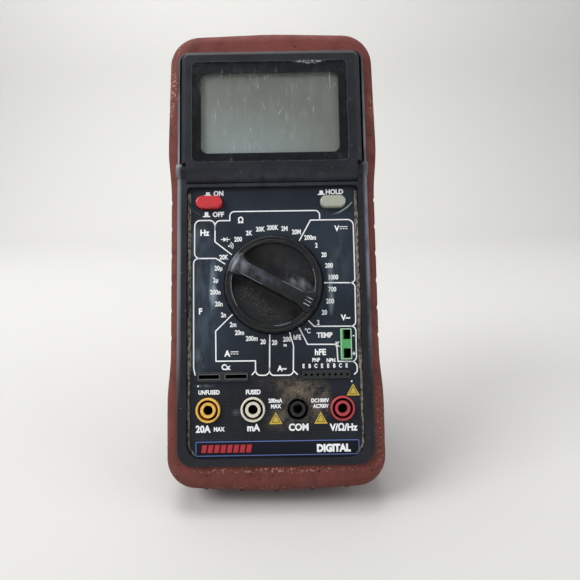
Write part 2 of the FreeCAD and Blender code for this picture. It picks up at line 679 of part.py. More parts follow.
def trimmers():
    group = []
    for x in (-2, 8, 18):
        block = box(x - 2.5, x + 2.5, 103, 108, 10, BOARD_Z)
        screw = rod(x, 105.5, 1.4, 9.3, 10.2)
        group.append(cut(fuse([block, screw]), [box(x - 1.1, x + 1.1, 105.3, 105.7, 9, 9.8)]))
    return Part.makeCompound(group)


def capacitors():
    return Part.makeCompound([rounded(rod(x, y, 3.1, 4.5, BOARD_Z), 0.4, at_z(4.5))
                              for x, y in ((16, 58), (24, 58), (20, 50))])


# ---- battery -------------------------------------------------------------------------------------

def battery_9v():
    x0, x1, y0, y1, z0, z1 = BATTERY
    can = rounded(box(x0, x1, y0, y1, z0, z1), 1.5, lambda e: e.BoundBox.XLength > 30)
    mid_z = (z0 + z1) / 2
    posts = [axle(y0 + 7, mid_z, 2.9, x1, x1 + 1.6), axle(y1 - 7, mid_z, 2.5, x1, x1 + 1.6)]
    return fuse([can] + posts)


def battery_snap():
    x0, x1, y0, y1, z0, z1 = BATTERY
    mid_z = (z0 + z1) / 2
    pad = rounded(box(x1 + 0.3, x1 + 3.8, y0 + 0.8, y1 - 0.8, mid_z - 5.5, mid_z + 5.5), 1.0,
                  lambda e: e.BoundBox.XLength > 3)
    return cut(pad, [axle(y0 + 7, mid_z, 3.0, x1, x1 + 1.9), axle(y1 - 7, mid_z, 2.6, x1, x1 + 1.9)])


def battery_leads():
    """Two leads from the snap round to the head of the board."""
    x = BATTERY[1] + 2.3
    group = []
    for lift, shift in ((8.5, 0.0), (11.0, 3.0)):
        route = [(x, 141.6, lift), (x, 133, lift), (x + shift, 122, 9), (22 + shift, 112, 9),
                 (22 + shift, 112, BOARD_Z)]
        group.append(tube(route, 0.65, 2.0))
    return Part.makeCompound(group)


# ---- the whole meter -----------------------------------------------------------------------------

PIECES = {
    "holster": holster,
    "tilt_stand": tilt_stand,
    "stand_hinge_pin": stand_hinge_pin,
    "rear_shell": rear_shell,
    "front_shell": front_shell,
    "faceplate": faceplate,
    "case_screws": lambda: screws(CASE_SCREWS, 3.1, (2.6, 5), 1.5, 19.5),
    "battery_door": battery_door,
    "battery_door_screw": battery_door_screw,
    "battery_9v": battery_9v,
    "battery_snap": battery_snap,
    "battery_leads": battery_leads,
    "main_board": main_board,
    "board_screws": lambda: screws(BOARD_SCREWS, 2.5, (12.2, BOARD_Z), 1.25, 22),
    "adc_chip": adc_chip,
    "fuse": fuse_link,
    "fuse_clips": fuse_clips,
    "current_shunt": current_shunt,
    "buzzer": buzzer,
    "trimmers": trimmers,
    "capacitors": capacitors,
    "power_switch": lambda: push_switch(POWER_AT),
    "hold_switch": lambda: push_switch(HOLD_AT),
    "power_button": lambda: push_button(POWER_AT, POWER_SIZE),
    "hold_button": lambda: push_button(HOLD_AT, HOLD_SIZE),
    "cx_socket": cx_socket,
    "cx_contacts": cx_contacts,
    "hfe_socket": hfe_socket,
    "hfe_contacts": hfe_contacts,
    "temp_socket": temp_socket,
    "temp_contacts": temp_contacts,
    "lid_front": lid_front,
    "lid_back": lid_back,
    "lid_screws": lambda: screws(LID_SCREWS, 2.0, (22.8, 24), 1.0, 31),
    "lid_hinge_pins": lid_hinge_pins,
    "display_window": lambda: window(LENS_W, LENS_H, LENS_Y, 2.5, 35.0, LID_FRONT_Z),
    "window_mask": lambda: cut(window(LENS_W, LENS_H, LENS_Y, 2.5, 34.7, 35.0),
                               [window(VIEW_W, VIEW_H, VIEW_Y, 3.0, 34, 36)]),
    "lcd_glass": lambda: window(GLASS_W, GLASS_H, VIEW_Y, 0.5, 30.6, 33.2),
    "lcd_holder": lcd_holder,
    "zebra_strips": zebra_strips,
    "display_board": display_board,
    "display_flex": display_flex,
    "selector_knob": selector_knob,
    "knob_rotor": knob_rotor,
    "detent_balls": detent_balls,
    "detent_springs": detent_springs,
    "wiper_contacts": wiper_contacts,
}
for place, jack in zip(jack_places(), JACK_NAMES):
    PIECES["jack_shroud_" + jack] = lambda x=place: jack_shroud(x)
    PIECES["jack_contact_" + jack] = lambda x=place: jack_contact(x)

GROUND_CUT = ("holster", "tilt_stand")


def stand_up(shape):
    """Leans the meter back and puts the heel's middle at the origin."""
    heel_y = -HEEL_DROP / math.cos(math.radians(LEAN))
    moved = shape.copy()
    moved.translate(V(0, -heel_y, 0))
    moved.rotate(V(0, 0, 0), V(1, 0, 0), 90 - LEAN)
    return moved


def main():
    os.makedirs("parts", exist_ok=True)
    ground = box(-150, 150, -150, 150, -60, 0)
    for name, make in PIECES.items():
        shape = stand_up(make())
        if name in GROUND_CUT:
            shape = cut(shape, [ground])
        if not shape.isValid() or not shape.Solids:
            raise RuntimeError(name + " is not a valid solid")
        if len(shape.Solids) == 1:
            shape = shape.Solids[0]
        shape.exportStep("parts/" + name + ".step")
        reach = shape.BoundBox
        print("%-20s %2d solids  %9.1f mm3  z %7.2f to %7.2f"
              % (name, len(shape.Solids), shape.Volume, reach.ZMin, reach.ZMax))


main()
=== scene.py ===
"""Bench multimeter: looks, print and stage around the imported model.

Face millimetres are used throughout: x to the right across the face, y up it from the foot of the case,
z out of it from the back of the case.
"""
import json
import math
import random

import bpy
from bpy.props import FloatProperty, FloatVectorProperty, PointerProperty
from mathutils import Matrix, Vector


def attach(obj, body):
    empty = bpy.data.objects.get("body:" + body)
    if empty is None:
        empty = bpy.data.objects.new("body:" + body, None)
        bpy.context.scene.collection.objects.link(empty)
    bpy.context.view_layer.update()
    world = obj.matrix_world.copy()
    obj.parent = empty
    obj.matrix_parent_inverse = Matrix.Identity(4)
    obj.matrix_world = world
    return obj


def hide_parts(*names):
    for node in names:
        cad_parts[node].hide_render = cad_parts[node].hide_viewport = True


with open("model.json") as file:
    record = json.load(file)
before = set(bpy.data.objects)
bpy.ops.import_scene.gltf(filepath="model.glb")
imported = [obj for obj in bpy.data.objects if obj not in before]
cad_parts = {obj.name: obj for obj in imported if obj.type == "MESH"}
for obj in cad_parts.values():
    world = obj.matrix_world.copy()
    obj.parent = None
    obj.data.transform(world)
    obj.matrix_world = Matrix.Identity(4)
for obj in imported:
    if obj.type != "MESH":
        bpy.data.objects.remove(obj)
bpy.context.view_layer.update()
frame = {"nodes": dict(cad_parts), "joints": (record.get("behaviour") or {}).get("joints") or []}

bl_info = {
    "name": "Bench Multimeter",
    "version": (1, 0, 0),
    "blender": (4, 5, 0),
    "location": "View3D > Sidebar > Multimeter",
    "description": "Finishes, printed legend and stage of a bench multimeter",
    "category": "Add Mesh",
}

MM = 0.001

# Face directions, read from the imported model
KNOB_JOINT = next(joint for joint in frame["joints"] if joint["name"] == "knob_turn")
RIGHT = Vector((1, 0, 0))
OUT = Vector(KNOB_JOINT["axis"]).normalized()
UP = OUT.cross(RIGHT)
LEAN = math.asin(OUT.z)


def reach(node, direction):
    """Lowest and highest distance of a node's points along a direction, in metres."""
    steps = [vertex.co.dot(direction) for vertex in frame["nodes"][node].data.vertices]
    return min(steps), max(steps)


FOOT = reach("front_shell", UP)[0]
BACK = reach("rear_shell", OUT)[0]


def way(x, y, z):
    """Direction given on the face."""
    return RIGHT * x + UP * y + OUT * z


def spot(x, y, z):
    """Place given in face millimetres, in metres of the model's frame."""
    return way(x * MM, FOOT + y * MM, BACK + z * MM)


def level(node):
    """Front of a node in face millimetres."""
    return (reach(node, OUT)[1] - BACK) / MM


def extent(node):
    """Low x, low y, high x and high y of a node in face millimetres."""
    low_x, high_x = reach(node, RIGHT)
    low_y, high_y = reach(node, UP)
    return low_x / MM, (low_y - FOOT) / MM, high_x / MM, (high_y - FOOT) / MM


def middle(node):
    """Middle of a node in face millimetres."""
    low_x, low_y, high_x, high_y = extent(node)
    return (low_x + high_x) / 2, (low_y + high_y) / 2


def on_knob(along, across):
    """Place on the face from steps along the knob's grip and across it."""
    return (KNOB_AT[0] + along * math.cos(KNOB_TURN) - across * math.sin(KNOB_TURN),
            KNOB_AT[1] + along * math.sin(KNOB_TURN) + across * math.cos(KNOB_TURN))


PANEL = level("faceplate")
KNOB_AT = middle("selector_knob")
KNOB_TURN = math.radians(-28.6)
JACKS = ("20a", "ma", "com", "volt")


# ---- settings a user would change ----------------------------------------------------------------

def linear(code):
    """sRGB hex to linear red, green, blue and alpha."""
    parts = [int(code[i:i + 2], 16) / 255 for i in (0, 2, 4)]
    return tuple(p / 12.92 if p <= 0.04045 else ((p + 0.055) / 1.055) ** 2.4 for p in parts) + (1.0,)


def shade(name, description, code):
    return FloatVectorProperty(name=name, description=description, subtype="COLOR", size=4, min=0, max=1,
                               default=linear(code))


def size(name, description, millimetres):
    return FloatProperty(name=name, description=description, subtype="DISTANCE", unit="LENGTH", min=0,
                         precision=5, default=millimetres * MM)


class MeterColours(bpy.types.PropertyGroup):
    holster: shade("Holster", "Rubber of the holster", "703E39")
    holster_worn: shade("Holster wear", "Rubber rubbed pale at its edges", "B98A80")
    case: shade("Case", "Moulded case", "22252B")
    film: shade("Film", "Printed film on the face", "28333F")
    ink: shade("Ink", "Legend printed on the face", "F8FAFB")
    dust: shade("Dust", "Dust in the corners of the face", "A39A8C")
    knob: shade("Knob", "Range knob", "16181B")
    power: shade("Power button", "Moulded power button", "CB3338")
    hold: shade("Hold button", "Moulded hold button", "A9AD9F")
    liquid: shade("Display", "Unlit liquid crystal", "64675F")
    jack_20a: shade("20 A jack", "Shroud of the 20 A jack", "EDBB55")
    jack_ma: shade("mA jack", "Shroud of the mA jack", "DEDAC9")
    jack_com: shade("COM jack", "Shroud of the common jack", "1B1C1E")
    jack_volt: shade("Volt jack", "Shroud of the volt jack", "B43C44")
    thermo: shade("Temperature socket", "Moulded temperature socket", "4FA35E")
    caution: shade("Caution mark", "Yellow triangles beside the jacks", "C9AE4C")
    badge: shade("Badge", "Red blocks in the name strip", "B2313A")
    strip_line: shade("Strip line", "Outline of the name strip", "6073AE")


class MeterSizes(bpy.types.PropertyGroup):
    line: size("Line width", "Width of the lines round the ranges", 0.52)
    ink: size("Ink height", "How far the print stands off the film", 0.14)
    rib_pitch: size("Rib pitch", "Distance between the ribs beside the jacks", 0.9)
    rib_height: size("Rib height", "How far the ribs stand off the film", 0.1)
    dial_text: size("Range text", "Cap height of the numbers round the knob", 2.1)
    dial_radius: size("Range text radius", "Distance of the numbers from the knob's axis", 25.3)
    knob_radius: size("Knob radius", "Radius of the range knob", 20.9)
    knob_foot: size("Knob foot", "Underside of the range knob above the case's back", 30.05)
    knob_rim: size("Knob rim", "Rim of the range knob above the case's back", 35.2)
    grip_top: size("Grip top", "Top of the knob's grip above the case's back", 37.0)
    grip_width: size("Grip width", "Width of the knob's grip", 6.3)


class MeterStage(bpy.types.PropertyGroup):
    backdrop: shade("Backdrop", "Floor and wall", "CBCAC7")
    lens: FloatProperty(name="Lens", description="Focal length in millimetres on a 36 mm wide sensor",
                        default=27.93, min=1)
    eye: FloatVectorProperty(name="Eye", description="Camera's place in face millimetres", size=3,
                             default=(7.08, 57.53, 225.66))
    tilt: FloatProperty(name="Tilt", description="How far the camera looks up the face", unit="ROTATION",
                        default=math.radians(4.859))
    roll: FloatProperty(name="Roll", description="How far the camera leans sideways", unit="ROTATION",
                        default=math.radians(0.95))
    key: FloatProperty(name="Key light", description="Power of the large light", default=10.0, min=0,
                       unit="POWER")
    fill: FloatProperty(name="Fill light", description="Power of the light on the other side", default=3.0,
                        min=0, unit="POWER")
    wall: FloatProperty(name="Wall light", description="Power of the light on the wall", default=12.5,
                        min=0, unit="POWER")
    room: FloatProperty(name="Room light", description="Strength of the even light", default=0.5, min=0)


# ---- mesh helpers --------------------------------------------------------------------------------

def piece_from(name, shapes, material, body="case"):
    """One object from shapes given as (points in face millimetres, faces), part of the face as a rule."""
    points, faces = [], []
    for shape_points, shape_faces in shapes:
        start = len(points)
        points += [spot(*point) for point in shape_points]
        faces += [[start + i for i in face] for face in shape_faces]
    mesh = bpy.data.meshes.new(name)
    mesh.from_pydata(points, [], faces)
    mesh.validate()
    piece = bpy.data.objects.new(name, mesh)
    bpy.context.scene.collection.objects.link(piece)
    mesh.materials.append(material)
    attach(piece, body)
    return piece


def rounded_path(corners, closed=False, steps=6):
    """Points along corners (x, y) or (x, y, radius), the latter turned into arcs."""
    flat = [Vector(corner[:2]) for corner in corners]
    path = []
    for i, corner in enumerate(corners):
        inner = closed or 0 < i < len(corners) - 1
        if len(corner) < 3 or not inner:
            path.append(flat[i])
            continue
        back = (flat[i - 1] - flat[i]).normalized()
        on = (flat[(i + 1) % len(flat)] - flat[i]).normalized()
        half = back.angle(on) / 2
        first = flat[i] + back * corner[2] / math.tan(half)
        last = flat[i] + on * corner[2] / math.tan(half)
        centre = flat[i] + (back + on).normalized() * corner[2] / math.sin(half)
        for k in range(steps + 1):
            ray = (first - centre).lerp(last - centre, k / steps).normalized()
            path.append(centre + ray * corner[2])
    return path


def ribbon(corners, profile, closed=False):
    """Profile of (side step, z) points swept along a path on the face."""
    path = rounded_path(corners, closed)
    count, points, faces = len(path), [], []
    for i, here in enumerate(path):
        before = (here - path[i - 1]).normalized() if closed or i else None
        after = (path[(i + 1) % count] - here).normalized() if closed or i < count - 1 else None
        before, after = before or after, after or before
        along = (before + after).normalized()
        side = Vector((-along.y, along.x)) / max(0.5, along.dot(after))
        points += [(here.x + side.x * step, here.y + side.y * step, z) for step, z in profile]
    wide = len(profile)
    for i in range(count if closed else count - 1):
        a, b = i * wide, (i + 1) % count * wide
        faces += [[a + k, b + k, b + k + 1, a + k + 1] for k in range(wide - 1)]
    if not closed:
        faces += [list(range(wide)), list(range(len(points) - 1, len(points) - wide - 1, -1))]
    return points, faces


def flat_profile(width, low, high):
    return [(-width / 2, low), (-width / 2, high), (width / 2, high), (width / 2, low)]


def round_profile(width, low, height):
    return [(-math.cos(math.pi * k / 6) * width / 2, low + math.sin(math.pi * k / 6) * height)
            for k in range(7)]


def outline(box, width, low, high, radius=0.2):
    """Closed line just inside a box (low x, low y, high x, high y)."""
    low_x, low_y, high_x, high_y = box
    inset = width / 2
    corners = [(low_x + inset, low_y + inset, radius), (high_x - inset, low_y + inset, radius),
               (high_x - inset, high_y - inset, radius), (low_x + inset, high_y - inset, radius)]
    return ribbon(corners, flat_profile(width, low, high), True)


def slab(corners, low, high):
    """Flat shape with straight sides from points (x, y), counter-clockwise."""
    count = len(corners)
    points = [(x, y, low) for x, y in corners] + [(x, y, high) for x, y in corners]
    sides = [[i, (i + 1) % count, count + (i + 1) % count, count + i] for i in range(count)]
    return points, sides + [list(range(count, 2 * count))]


def disc(x, y, radius, low, high):
    return slab([(x + radius * math.cos(math.tau * k / 16), y + radius * math.sin(math.tau * k / 16))
                 for k in range(16)], low, high)


def words(text, x, y, cap, low, high, turn=0.0, narrow=0.79, bold=0.065):
    """Lettering centred on a point of the face, as raised shapes of that cap height."""
    caps_to_size = 0.729
    curve = bpy.data.curves.new("words", "FONT")
    curve.body, curve.align_x = text, "CENTER"
    curve.size = cap / caps_to_size
    curve.offset, curve.extrude, curve.resolution_u = bold * cap, (high - low) / 2, 3
    holder = bpy.data.objects.new("words", curve)
    bpy.context.scene.collection.objects.link(holder)
    shape = bpy.data.meshes.new_from_object(holder.evaluated_get(bpy.context.evaluated_depsgraph_get()))
    spin = Matrix.Rotation(math.radians(turn), 2)
    points = []
    for vertex in shape.vertices:
        place = spin @ Vector((vertex.co.x * narrow, vertex.co.y - cap / 2))
        points.append((x + place.x, y + place.y, (low + high) / 2 + vertex.co.z))
    faces = [list(polygon.vertices) for polygon in shape.polygons]
    bpy.data.objects.remove(holder)
    bpy.data.curves.remove(curve)
    bpy.data.meshes.remove(shape)
    return points, faces


# ---- material helpers ----------------------------------------------------------------------------

def add(tree, kind, sockets=None, **settings):
    """Adds a node, with its settings, and its sockets given as values or as outputs to link."""
    node = tree.nodes.new(kind)
    for name, value in settings.items():
        setattr(node, name, value)
    for name, value in (sockets or {}).items():
        if isinstance(value, bpy.types.NodeSocket):
            tree.links.new(value, node.inputs[name])
        else:
            node.inputs[name].default_value = value
    return node


def start(name, **values):
    """New material: its tree, its shader with constants set, and the face millimetres of a point."""
    material = bpy.data.materials.new(name)
    material.use_nodes = True
    tree = material.node_tree
    shader = tree.nodes["Principled BSDF"]
    for socket, value in values.items():
        shader.inputs[socket.replace("_", " ")].default_value = value
    place = add(tree, "ShaderNodeTexCoord").outputs["Object"]
    face = add(tree, "ShaderNodeMapping", {
        "Vector": place, "Scale": (1 / MM,) * 3, "Rotation": (LEAN - math.pi / 2, 0, 0),
        "Location": (0, -FOOT / MM, -BACK / MM)}).outputs[0]
    return material, tree, shader, face


def blotches(tree, face, grain, low, high, detail=3.0, stretch=(1, 1, 1)):
    """Irregular patches about that many millimetres across, from 0 to 1 between two noise levels."""
    placed = add(tree, "ShaderNodeMapping", {"Vector": face, "Scale": stretch}).outputs[0]
    noise = add(tree, "ShaderNodeTexNoise", {"Vector": placed, "Scale": 1 / grain, "Detail": detail})
    return add(tree, "ShaderNodeMapRange", {"Value": noise.outputs[0], "From Min": low, "From Max": high},
               interpolation_type="SMOOTHSTEP").outputs[0]


def patch(tree, face, centre, extent, turn=0.0):
    """Soft round patch: 1 at a place on the face, 0 at its extent in each direction."""
    placed = add(tree, "ShaderNodeMapping", {"Vector": face, "Location": centre, "Scale": extent,
                                             "Rotation": (0, 0, turn)}, vector_type="TEXTURE").outputs[0]
    return add(tree, "ShaderNodeTexGradient", {"Vector": placed}, gradient_type="SPHERICAL").outputs[0]


def layer(tree, under, over, *masks, strength=1.0):
    """Colour laid over another, thinner wherever one of the masks is under 1."""
    cover = strength
    for mask in masks:
        cover = add(tree, "ShaderNodeMath", {0: mask, 1: cover}, operation="MULTIPLY").outputs[0]
    return add(tree, "ShaderNodeMix", {"Factor": cover, 6: under, 7: over}, data_type="RGBA").outputs[2]


def finish(tree, shader, colour, gloss, *heights):
    """Wires the colour, the gloss as (mask, smooth, rough), and each relief as (mask, millimetres deep)."""
    tree.links.new(colour, shader.inputs["Base Color"])
    if gloss:
        sockets = dict(zip(("Value", "To Min", "To Max"), gloss))
        tree.links.new(add(tree, "ShaderNodeMapRange", sockets).outputs[0], shader.inputs["Roughness"])
    below = {}
    for height, deep in heights:
        sockets = {"Height": height, "Distance": deep * MM, "Strength": 1.0, **below}
        below = {"Normal": add(tree, "ShaderNodeBump", sockets).outputs[0]}
    tree.links.new(below["Normal"], shader.inputs["Normal"])


def dress(material, *nodes):
    """Gives CAD nodes a material."""
    for name in nodes:
        mesh = frame["nodes"][name].data
        if not mesh.materials:
            mesh.materials.append(material)
        for i in range(len(mesh.materials)):
            mesh.materials[i] = material


def moulded(name, colour, gloss=0.4, grain=0.5, depth=0.02, shine=0.5):
    """Injection-moulded plastic: even colour, faintly cloudy, its fine texture softening highlights."""
    material, tree, shader, face = start(name, IOR=1.52, Specular_IOR_Level=shine)
    cloud = blotches(tree, face, 9, 0.3, 0.7)
    tone = layer(tree, tuple(colour), [part * 0.8 for part in colour[:3]] + [1], cloud)
    finish(tree, shader, tone, (cloud, gloss * 0.9, gloss * 1.15),
           (blotches(tree, face, grain, 0.3, 0.7), depth))
    return material


def metal(name, colour, rough):
    """Plain metal with a drawn finish: long fine streaks vary its roughness."""
    material, tree, shader, face = start(name, Metallic=1.0)
    streaks = blotches(tree, face, 0.6, 0.3, 0.7, stretch=(1, 8, 1))
    tone = layer(tree, linear(colour), linear("4A4640"), blotches(tree, face, 2.5, 0.5, 0.8), strength=0.5)
    finish(tree, shader, tone, (streaks, rough * 0.8, rough * 1.3), (streaks, 0.004))
    return material


# ---- finishes ------------------------------------------------------------------------------------

def holster_rubber(colours):
    """PVC rubber, moulded: matt and a little waxy, rubbed pale on its corners, specked with grime and
    painted lighter at its top.
    """
    material, tree, shader, face = start("PVC rubber, moulded", IOR=1.5, Specular_IOR_Level=0.15)
    tone = layer(tree, tuple(colours.holster), linear("5E332D"), blotches(tree, face, 9, 0.3, 0.75, 6),
                 strength=0.7)
    # Painted light: the top of the holster is lighter.
    tone = layer(tree, tone, linear("844743"), patch(tree, face, (0, 186, 30), (60, 26, 40)), strength=0.5)
    tone = layer(tree, tone, linear("7E4540"), blotches(tree, face, 2.4, 0.45, 0.8, 6), strength=0.5)
    rubbed = blotches(tree, face, 1.0, 0.54, 0.62, 5)
    for centre, extent, strength in (((-45.5, 166, 29), (4, 17, 7), 1.8), ((0, -2, 30), (44, 1.6, 4), 1.5),
                                     ((46, 158, 28), (3, 12, 8), 1.0), ((0, -10.5, 27), (46, 3, 6), 0.7),
                                     ((-45, 186, 28), (8, 8, 9), 0.7), ((45, 12, 28), (6, 30, 7), 0.5)):
        near = patch(tree, face, centre, extent)
        tone = layer(tree, tone, tuple(colours.holster_worn), near, rubbed, strength=strength)
    foot = patch(tree, face, (0, -14, 24), (70, 7, 16))
    grime = blotches(tree, face, 7, 0.5, 0.75, 6)
    tone = layer(tree, tone, linear("3B211D"), foot, blotches(tree, face, 3, 0.3, 0.7, 6), strength=1.3)
    tone = layer(tree, tone, linear("43271F"), grime, strength=0.55)
    tone = layer(tree, tone, linear("2E201E"), blotches(tree, face, 1.7, 0.66, 0.72, 6))
    finish(tree, shader, tone, (blotches(tree, face, 5, 0.3, 0.7), 0.6, 0.82),
           (blotches(tree, face, 6, 0.2, 0.8), 0.06), (blotches(tree, face, 0.8, 0.2, 0.8), 0.06))
    return material


def case_abs(colours):
    """ABS, moulded against a fine texture: satin black, bluish, with a painted reflection along the rim and
    a painted lighter band just under the display housing.
    """
    material, tree, shader, face = start("ABS, moulded, fine texture", IOR=1.54, Specular_IOR_Level=0.25)
    tone = layer(tree, tuple(colours.case), linear("1A1C21"), blotches(tree, face, 12, 0.3, 0.7))
    # Painted light: a lighter band on the case just under the display housing.
    ledge_highlight = patch(tree, face, (0, 121, 34), (60, 7, 14))
    tone = layer(tree, tone, linear("353A42"), ledge_highlight, blotches(tree, face, 5, 0.2, 0.6), strength=1.4)
    tone = layer(tree, tone, linear("5A5A56"), blotches(tree, face, 1.8, 0.66, 0.74, 6))
    # Painted reflection: a pale, patchy band along the rounded outer rim, fading towards the foot.
    across = add(tree, "ShaderNodeSeparateXYZ", {"Vector": face}).outputs[0]
    aside = add(tree, "ShaderNodeMath", {0: across}, operation="ABSOLUTE").outputs[0]
    edge = add(tree, "ShaderNodeMapRange", {"Value": aside, "From Min": 39.9, "From Max": 41.2}).outputs[0]
    wear_and_sheen = patch(tree, face, (0, 112, 30), (150, 80, 60))
    uneven = blotches(tree, face, 7, 0.25, 0.6, 5, (1, 0.4, 1))
    tone = layer(tree, tone, linear("74777F"), edge, wear_and_sheen, uneven, strength=2.0)
    # Painted highlight: the left rim is painted paler still.
    left = patch(tree, face, (-41, 85, 32), (12, 60, 12))
    tone = layer(tree, tone, linear("7B7F88"), edge, left, strength=1.3)
    finish(tree, shader, tone, (blotches(tree, face, 7, 0.3, 0.7), 0.33, 0.5),
           (blotches(tree, face, 0.45, 0.2, 0.8), 0.02))
    return material


def face_film(colours):
    """Polycarbonate film, screen-printed from behind: dark slate with a soft gloss, smeared and dusty, with
    painted glare either side of the knob, darker towards its foot and with painted shade under the display
    housing.
    """
    material, tree, shader, face = start("polycarbonate film, screen-printed", IOR=1.58,
                                         Specular_IOR_Level=0.2)
    tone = layer(tree, tuple(colours.film), linear("1D242E"), blotches(tree, face, 20, 0.3, 0.7))
    # Darker towards the foot of the face, and painted shade under the overhanging display housing.
    for centre, extent, strength in (((0, 22, 30), (62, 32, 9), 1.6), ((0, 116, 30), (46, 12, 9), 0.6)):
        tone = layer(tree, tone, linear("191C22"), patch(tree, face, centre, extent), strength=strength)
    # Painted glare and smears: the two strong tall patches either side of the knob are painted highlights,
    # the weaker ones pale smears.
    smear_and_glare = blotches(tree, face, 2.2, 0.25, 0.75, 5, (1, 0.3, 1))
    for centre, extent, strength in (
            ((-26.4, 76, 30), (2.2, 14, 9), 1.7), ((24.8, 75, 30), (2.0, 13, 9), 1.7),
            ((-31, 70, 30), (9, 40, 9), 0.2), ((-33, 97, 30), (6, 9, 9), 0.25),
            ((-33, 44, 30), (4, 7, 9), 0.5), ((-30, 33.5, 30), (6, 0.9, 9), 0.5),
            ((-16, 22, 30), (3, 2, 9), 0.4), ((29, 88, 30), (7, 16, 9), 0.15)):
        near = patch(tree, face, centre, extent)
        tone = layer(tree, tone, linear("8796A2"), near, smear_and_glare, strength=strength)
    haze = blotches(tree, face, 2.6, 0.25, 0.7, 6)
    speck = blotches(tree, face, 0.38, 0.46, 0.62, 4)
    for centre, extent, strength in (
            ((9.4, 24, 30), (10.5, 10, 9), 1.4), ((12, 31.5, 30), (13, 6.5, 9), 0.9),
            ((19.1, 26, 30), (6, 9, 9), 0.9), ((2, 34, 30), (12, 4, 9), 0.3),
            ((2, 19, 30), (9, 6, 9), 0.5)):
        near = patch(tree, face, centre, extent)
        tone = layer(tree, tone, linear("645A4D"), near, haze, strength=0.6 * strength)
        tone = layer(tree, tone, linear("9B8D78"), near, speck, haze, strength=1.2 * strength)
    finish(tree, shader, tone, (smear_and_glare, 0.36, 0.6), (blotches(tree, face, 0.5, 0.2, 0.8), 0.01))
    return material


def printed(name, colour, wear_and_sheen=0.72):
    """Screen-printed ink: flat and matt, rubbed thin in small spots."""
    material, tree, shader, face = start(name, IOR=1.5, Specular_IOR_Level=0.25)
    thin = blotches(tree, face, 0.9, wear_and_sheen, wear_and_sheen + 0.12, 5)
    tone = layer(tree, tuple(colour), linear("55606A"), thin)
    finish(tree, shader, tone, (thin, 0.5, 0.65), (blotches(tree, face, 0.4, 0.3, 0.7), 0.01))
    return material


def film_with_painted_highlight():
    """Polycarbonate film, embossed: the raised lines carry a painted highlight, pale near the hold button.
    """
    material, tree, shader, face = start("polycarbonate film, embossed", IOR=1.58)
    # Painted highlight on the raised lines near the hold button.
    rubbed = patch(tree, face, (33, 110, 30), (7, 5, 9))
    tone = layer(tree, linear("333B45"), linear("B4BCC3"), rubbed)
    finish(tree, shader, tone, (rubbed, 0.35, 0.25), (blotches(tree, face, 0.7, 0.2, 0.8), 0.02))
    return material


def dried_dust(colours):
    """Dust caked in a corner: matt, crumbly, tan, with fine gaps and dark stretches where it fell out."""
    material, tree, shader, face = start("dust, caked", Roughness=0.95, Specular_IOR_Level=0.1)
    gaps = blotches(tree, face, 0.7, 0.4, 0.62, 6, (1, 0.4, 1))
    tone = layer(tree, tuple(colours.dust), linear("4B463E"), gaps)
    bare = blotches(tree, face, 4, 0.45, 0.7, 5, (1, 0.3, 1))
    tone = layer(tree, tone, linear("2A2B2C"), bare, strength=0.8)
    finish(tree, shader, tone, None, (blotches(tree, face, 0.5, 0.2, 0.8), 0.06))
    return material


def window_acrylic():
    """Acrylic, polished: clear with fine vertical scratches and scuffs that catch the light."""
    material, tree, shader, face = start("acrylic, polished and scratched", Roughness=0.12, IOR=1.49,
                                         Specular_IOR_Level=0.25)
    shader.inputs["Base Color"].default_value = linear("E6ECEC")
    lines = blotches(tree, face, 0.6, 0.52, 0.85, 6, (1, 0.09, 1))
    zone = blotches(tree, face, 8, 0.4, 0.7, 3)
    scuff = blotches(tree, face, 0.9, 0.5, 0.56, 5)
    near = patch(tree, face, (17, 175.3, 36), (8, 1.5, 4))
    haze = add(tree, "ShaderNodeMath", {0: lines, 1: zone}, operation="MULTIPLY").outputs[0]
    thin = add(tree, "ShaderNodeMapRange", {"Value": haze, "To Min": 0.01, "To Max": 0.28}).outputs[0]
    alpha = add(tree, "ShaderNodeMath", {0: scuff, 1: near, 2: thin}, operation="MULTIPLY_ADD",
                use_clamp=True)
    tree.links.new(alpha.outputs[0], shader.inputs["Alpha"])
    return material


def liquid_crystal(colours):
    """Unlit liquid crystal behind its polariser: flat grey-green, with painted light making it paler and
    bluer towards its foot and paler to one side.
    """
    material, tree, shader, face = start("liquid crystal, unlit", IOR=1.5)
    # Painted light: paler and bluer towards the foot.
    pale = patch(tree, face, (-14, 126, 33), (50, 34, 40))
    tone = layer(tree, tuple(colours.liquid), linear("82908F"), pale, strength=1.2)
    # Painted light: paler towards the left side.
    side = patch(tree, face, (-33, 152, 33), (20, 26, 40))
    tone = layer(tree, tone, linear("7F8683"), side, strength=0.5)
    streaks = blotches(tree, face, 3, 0.4, 0.8, 4, (1, 0.12, 1))
    tone = layer(tree, tone, linear("80857E"), streaks, strength=0.35)
    finish(tree, shader, tone, (streaks, 0.45, 0.55), (blotches(tree, face, 0.6, 0.3, 0.7), 0.002))
    return material


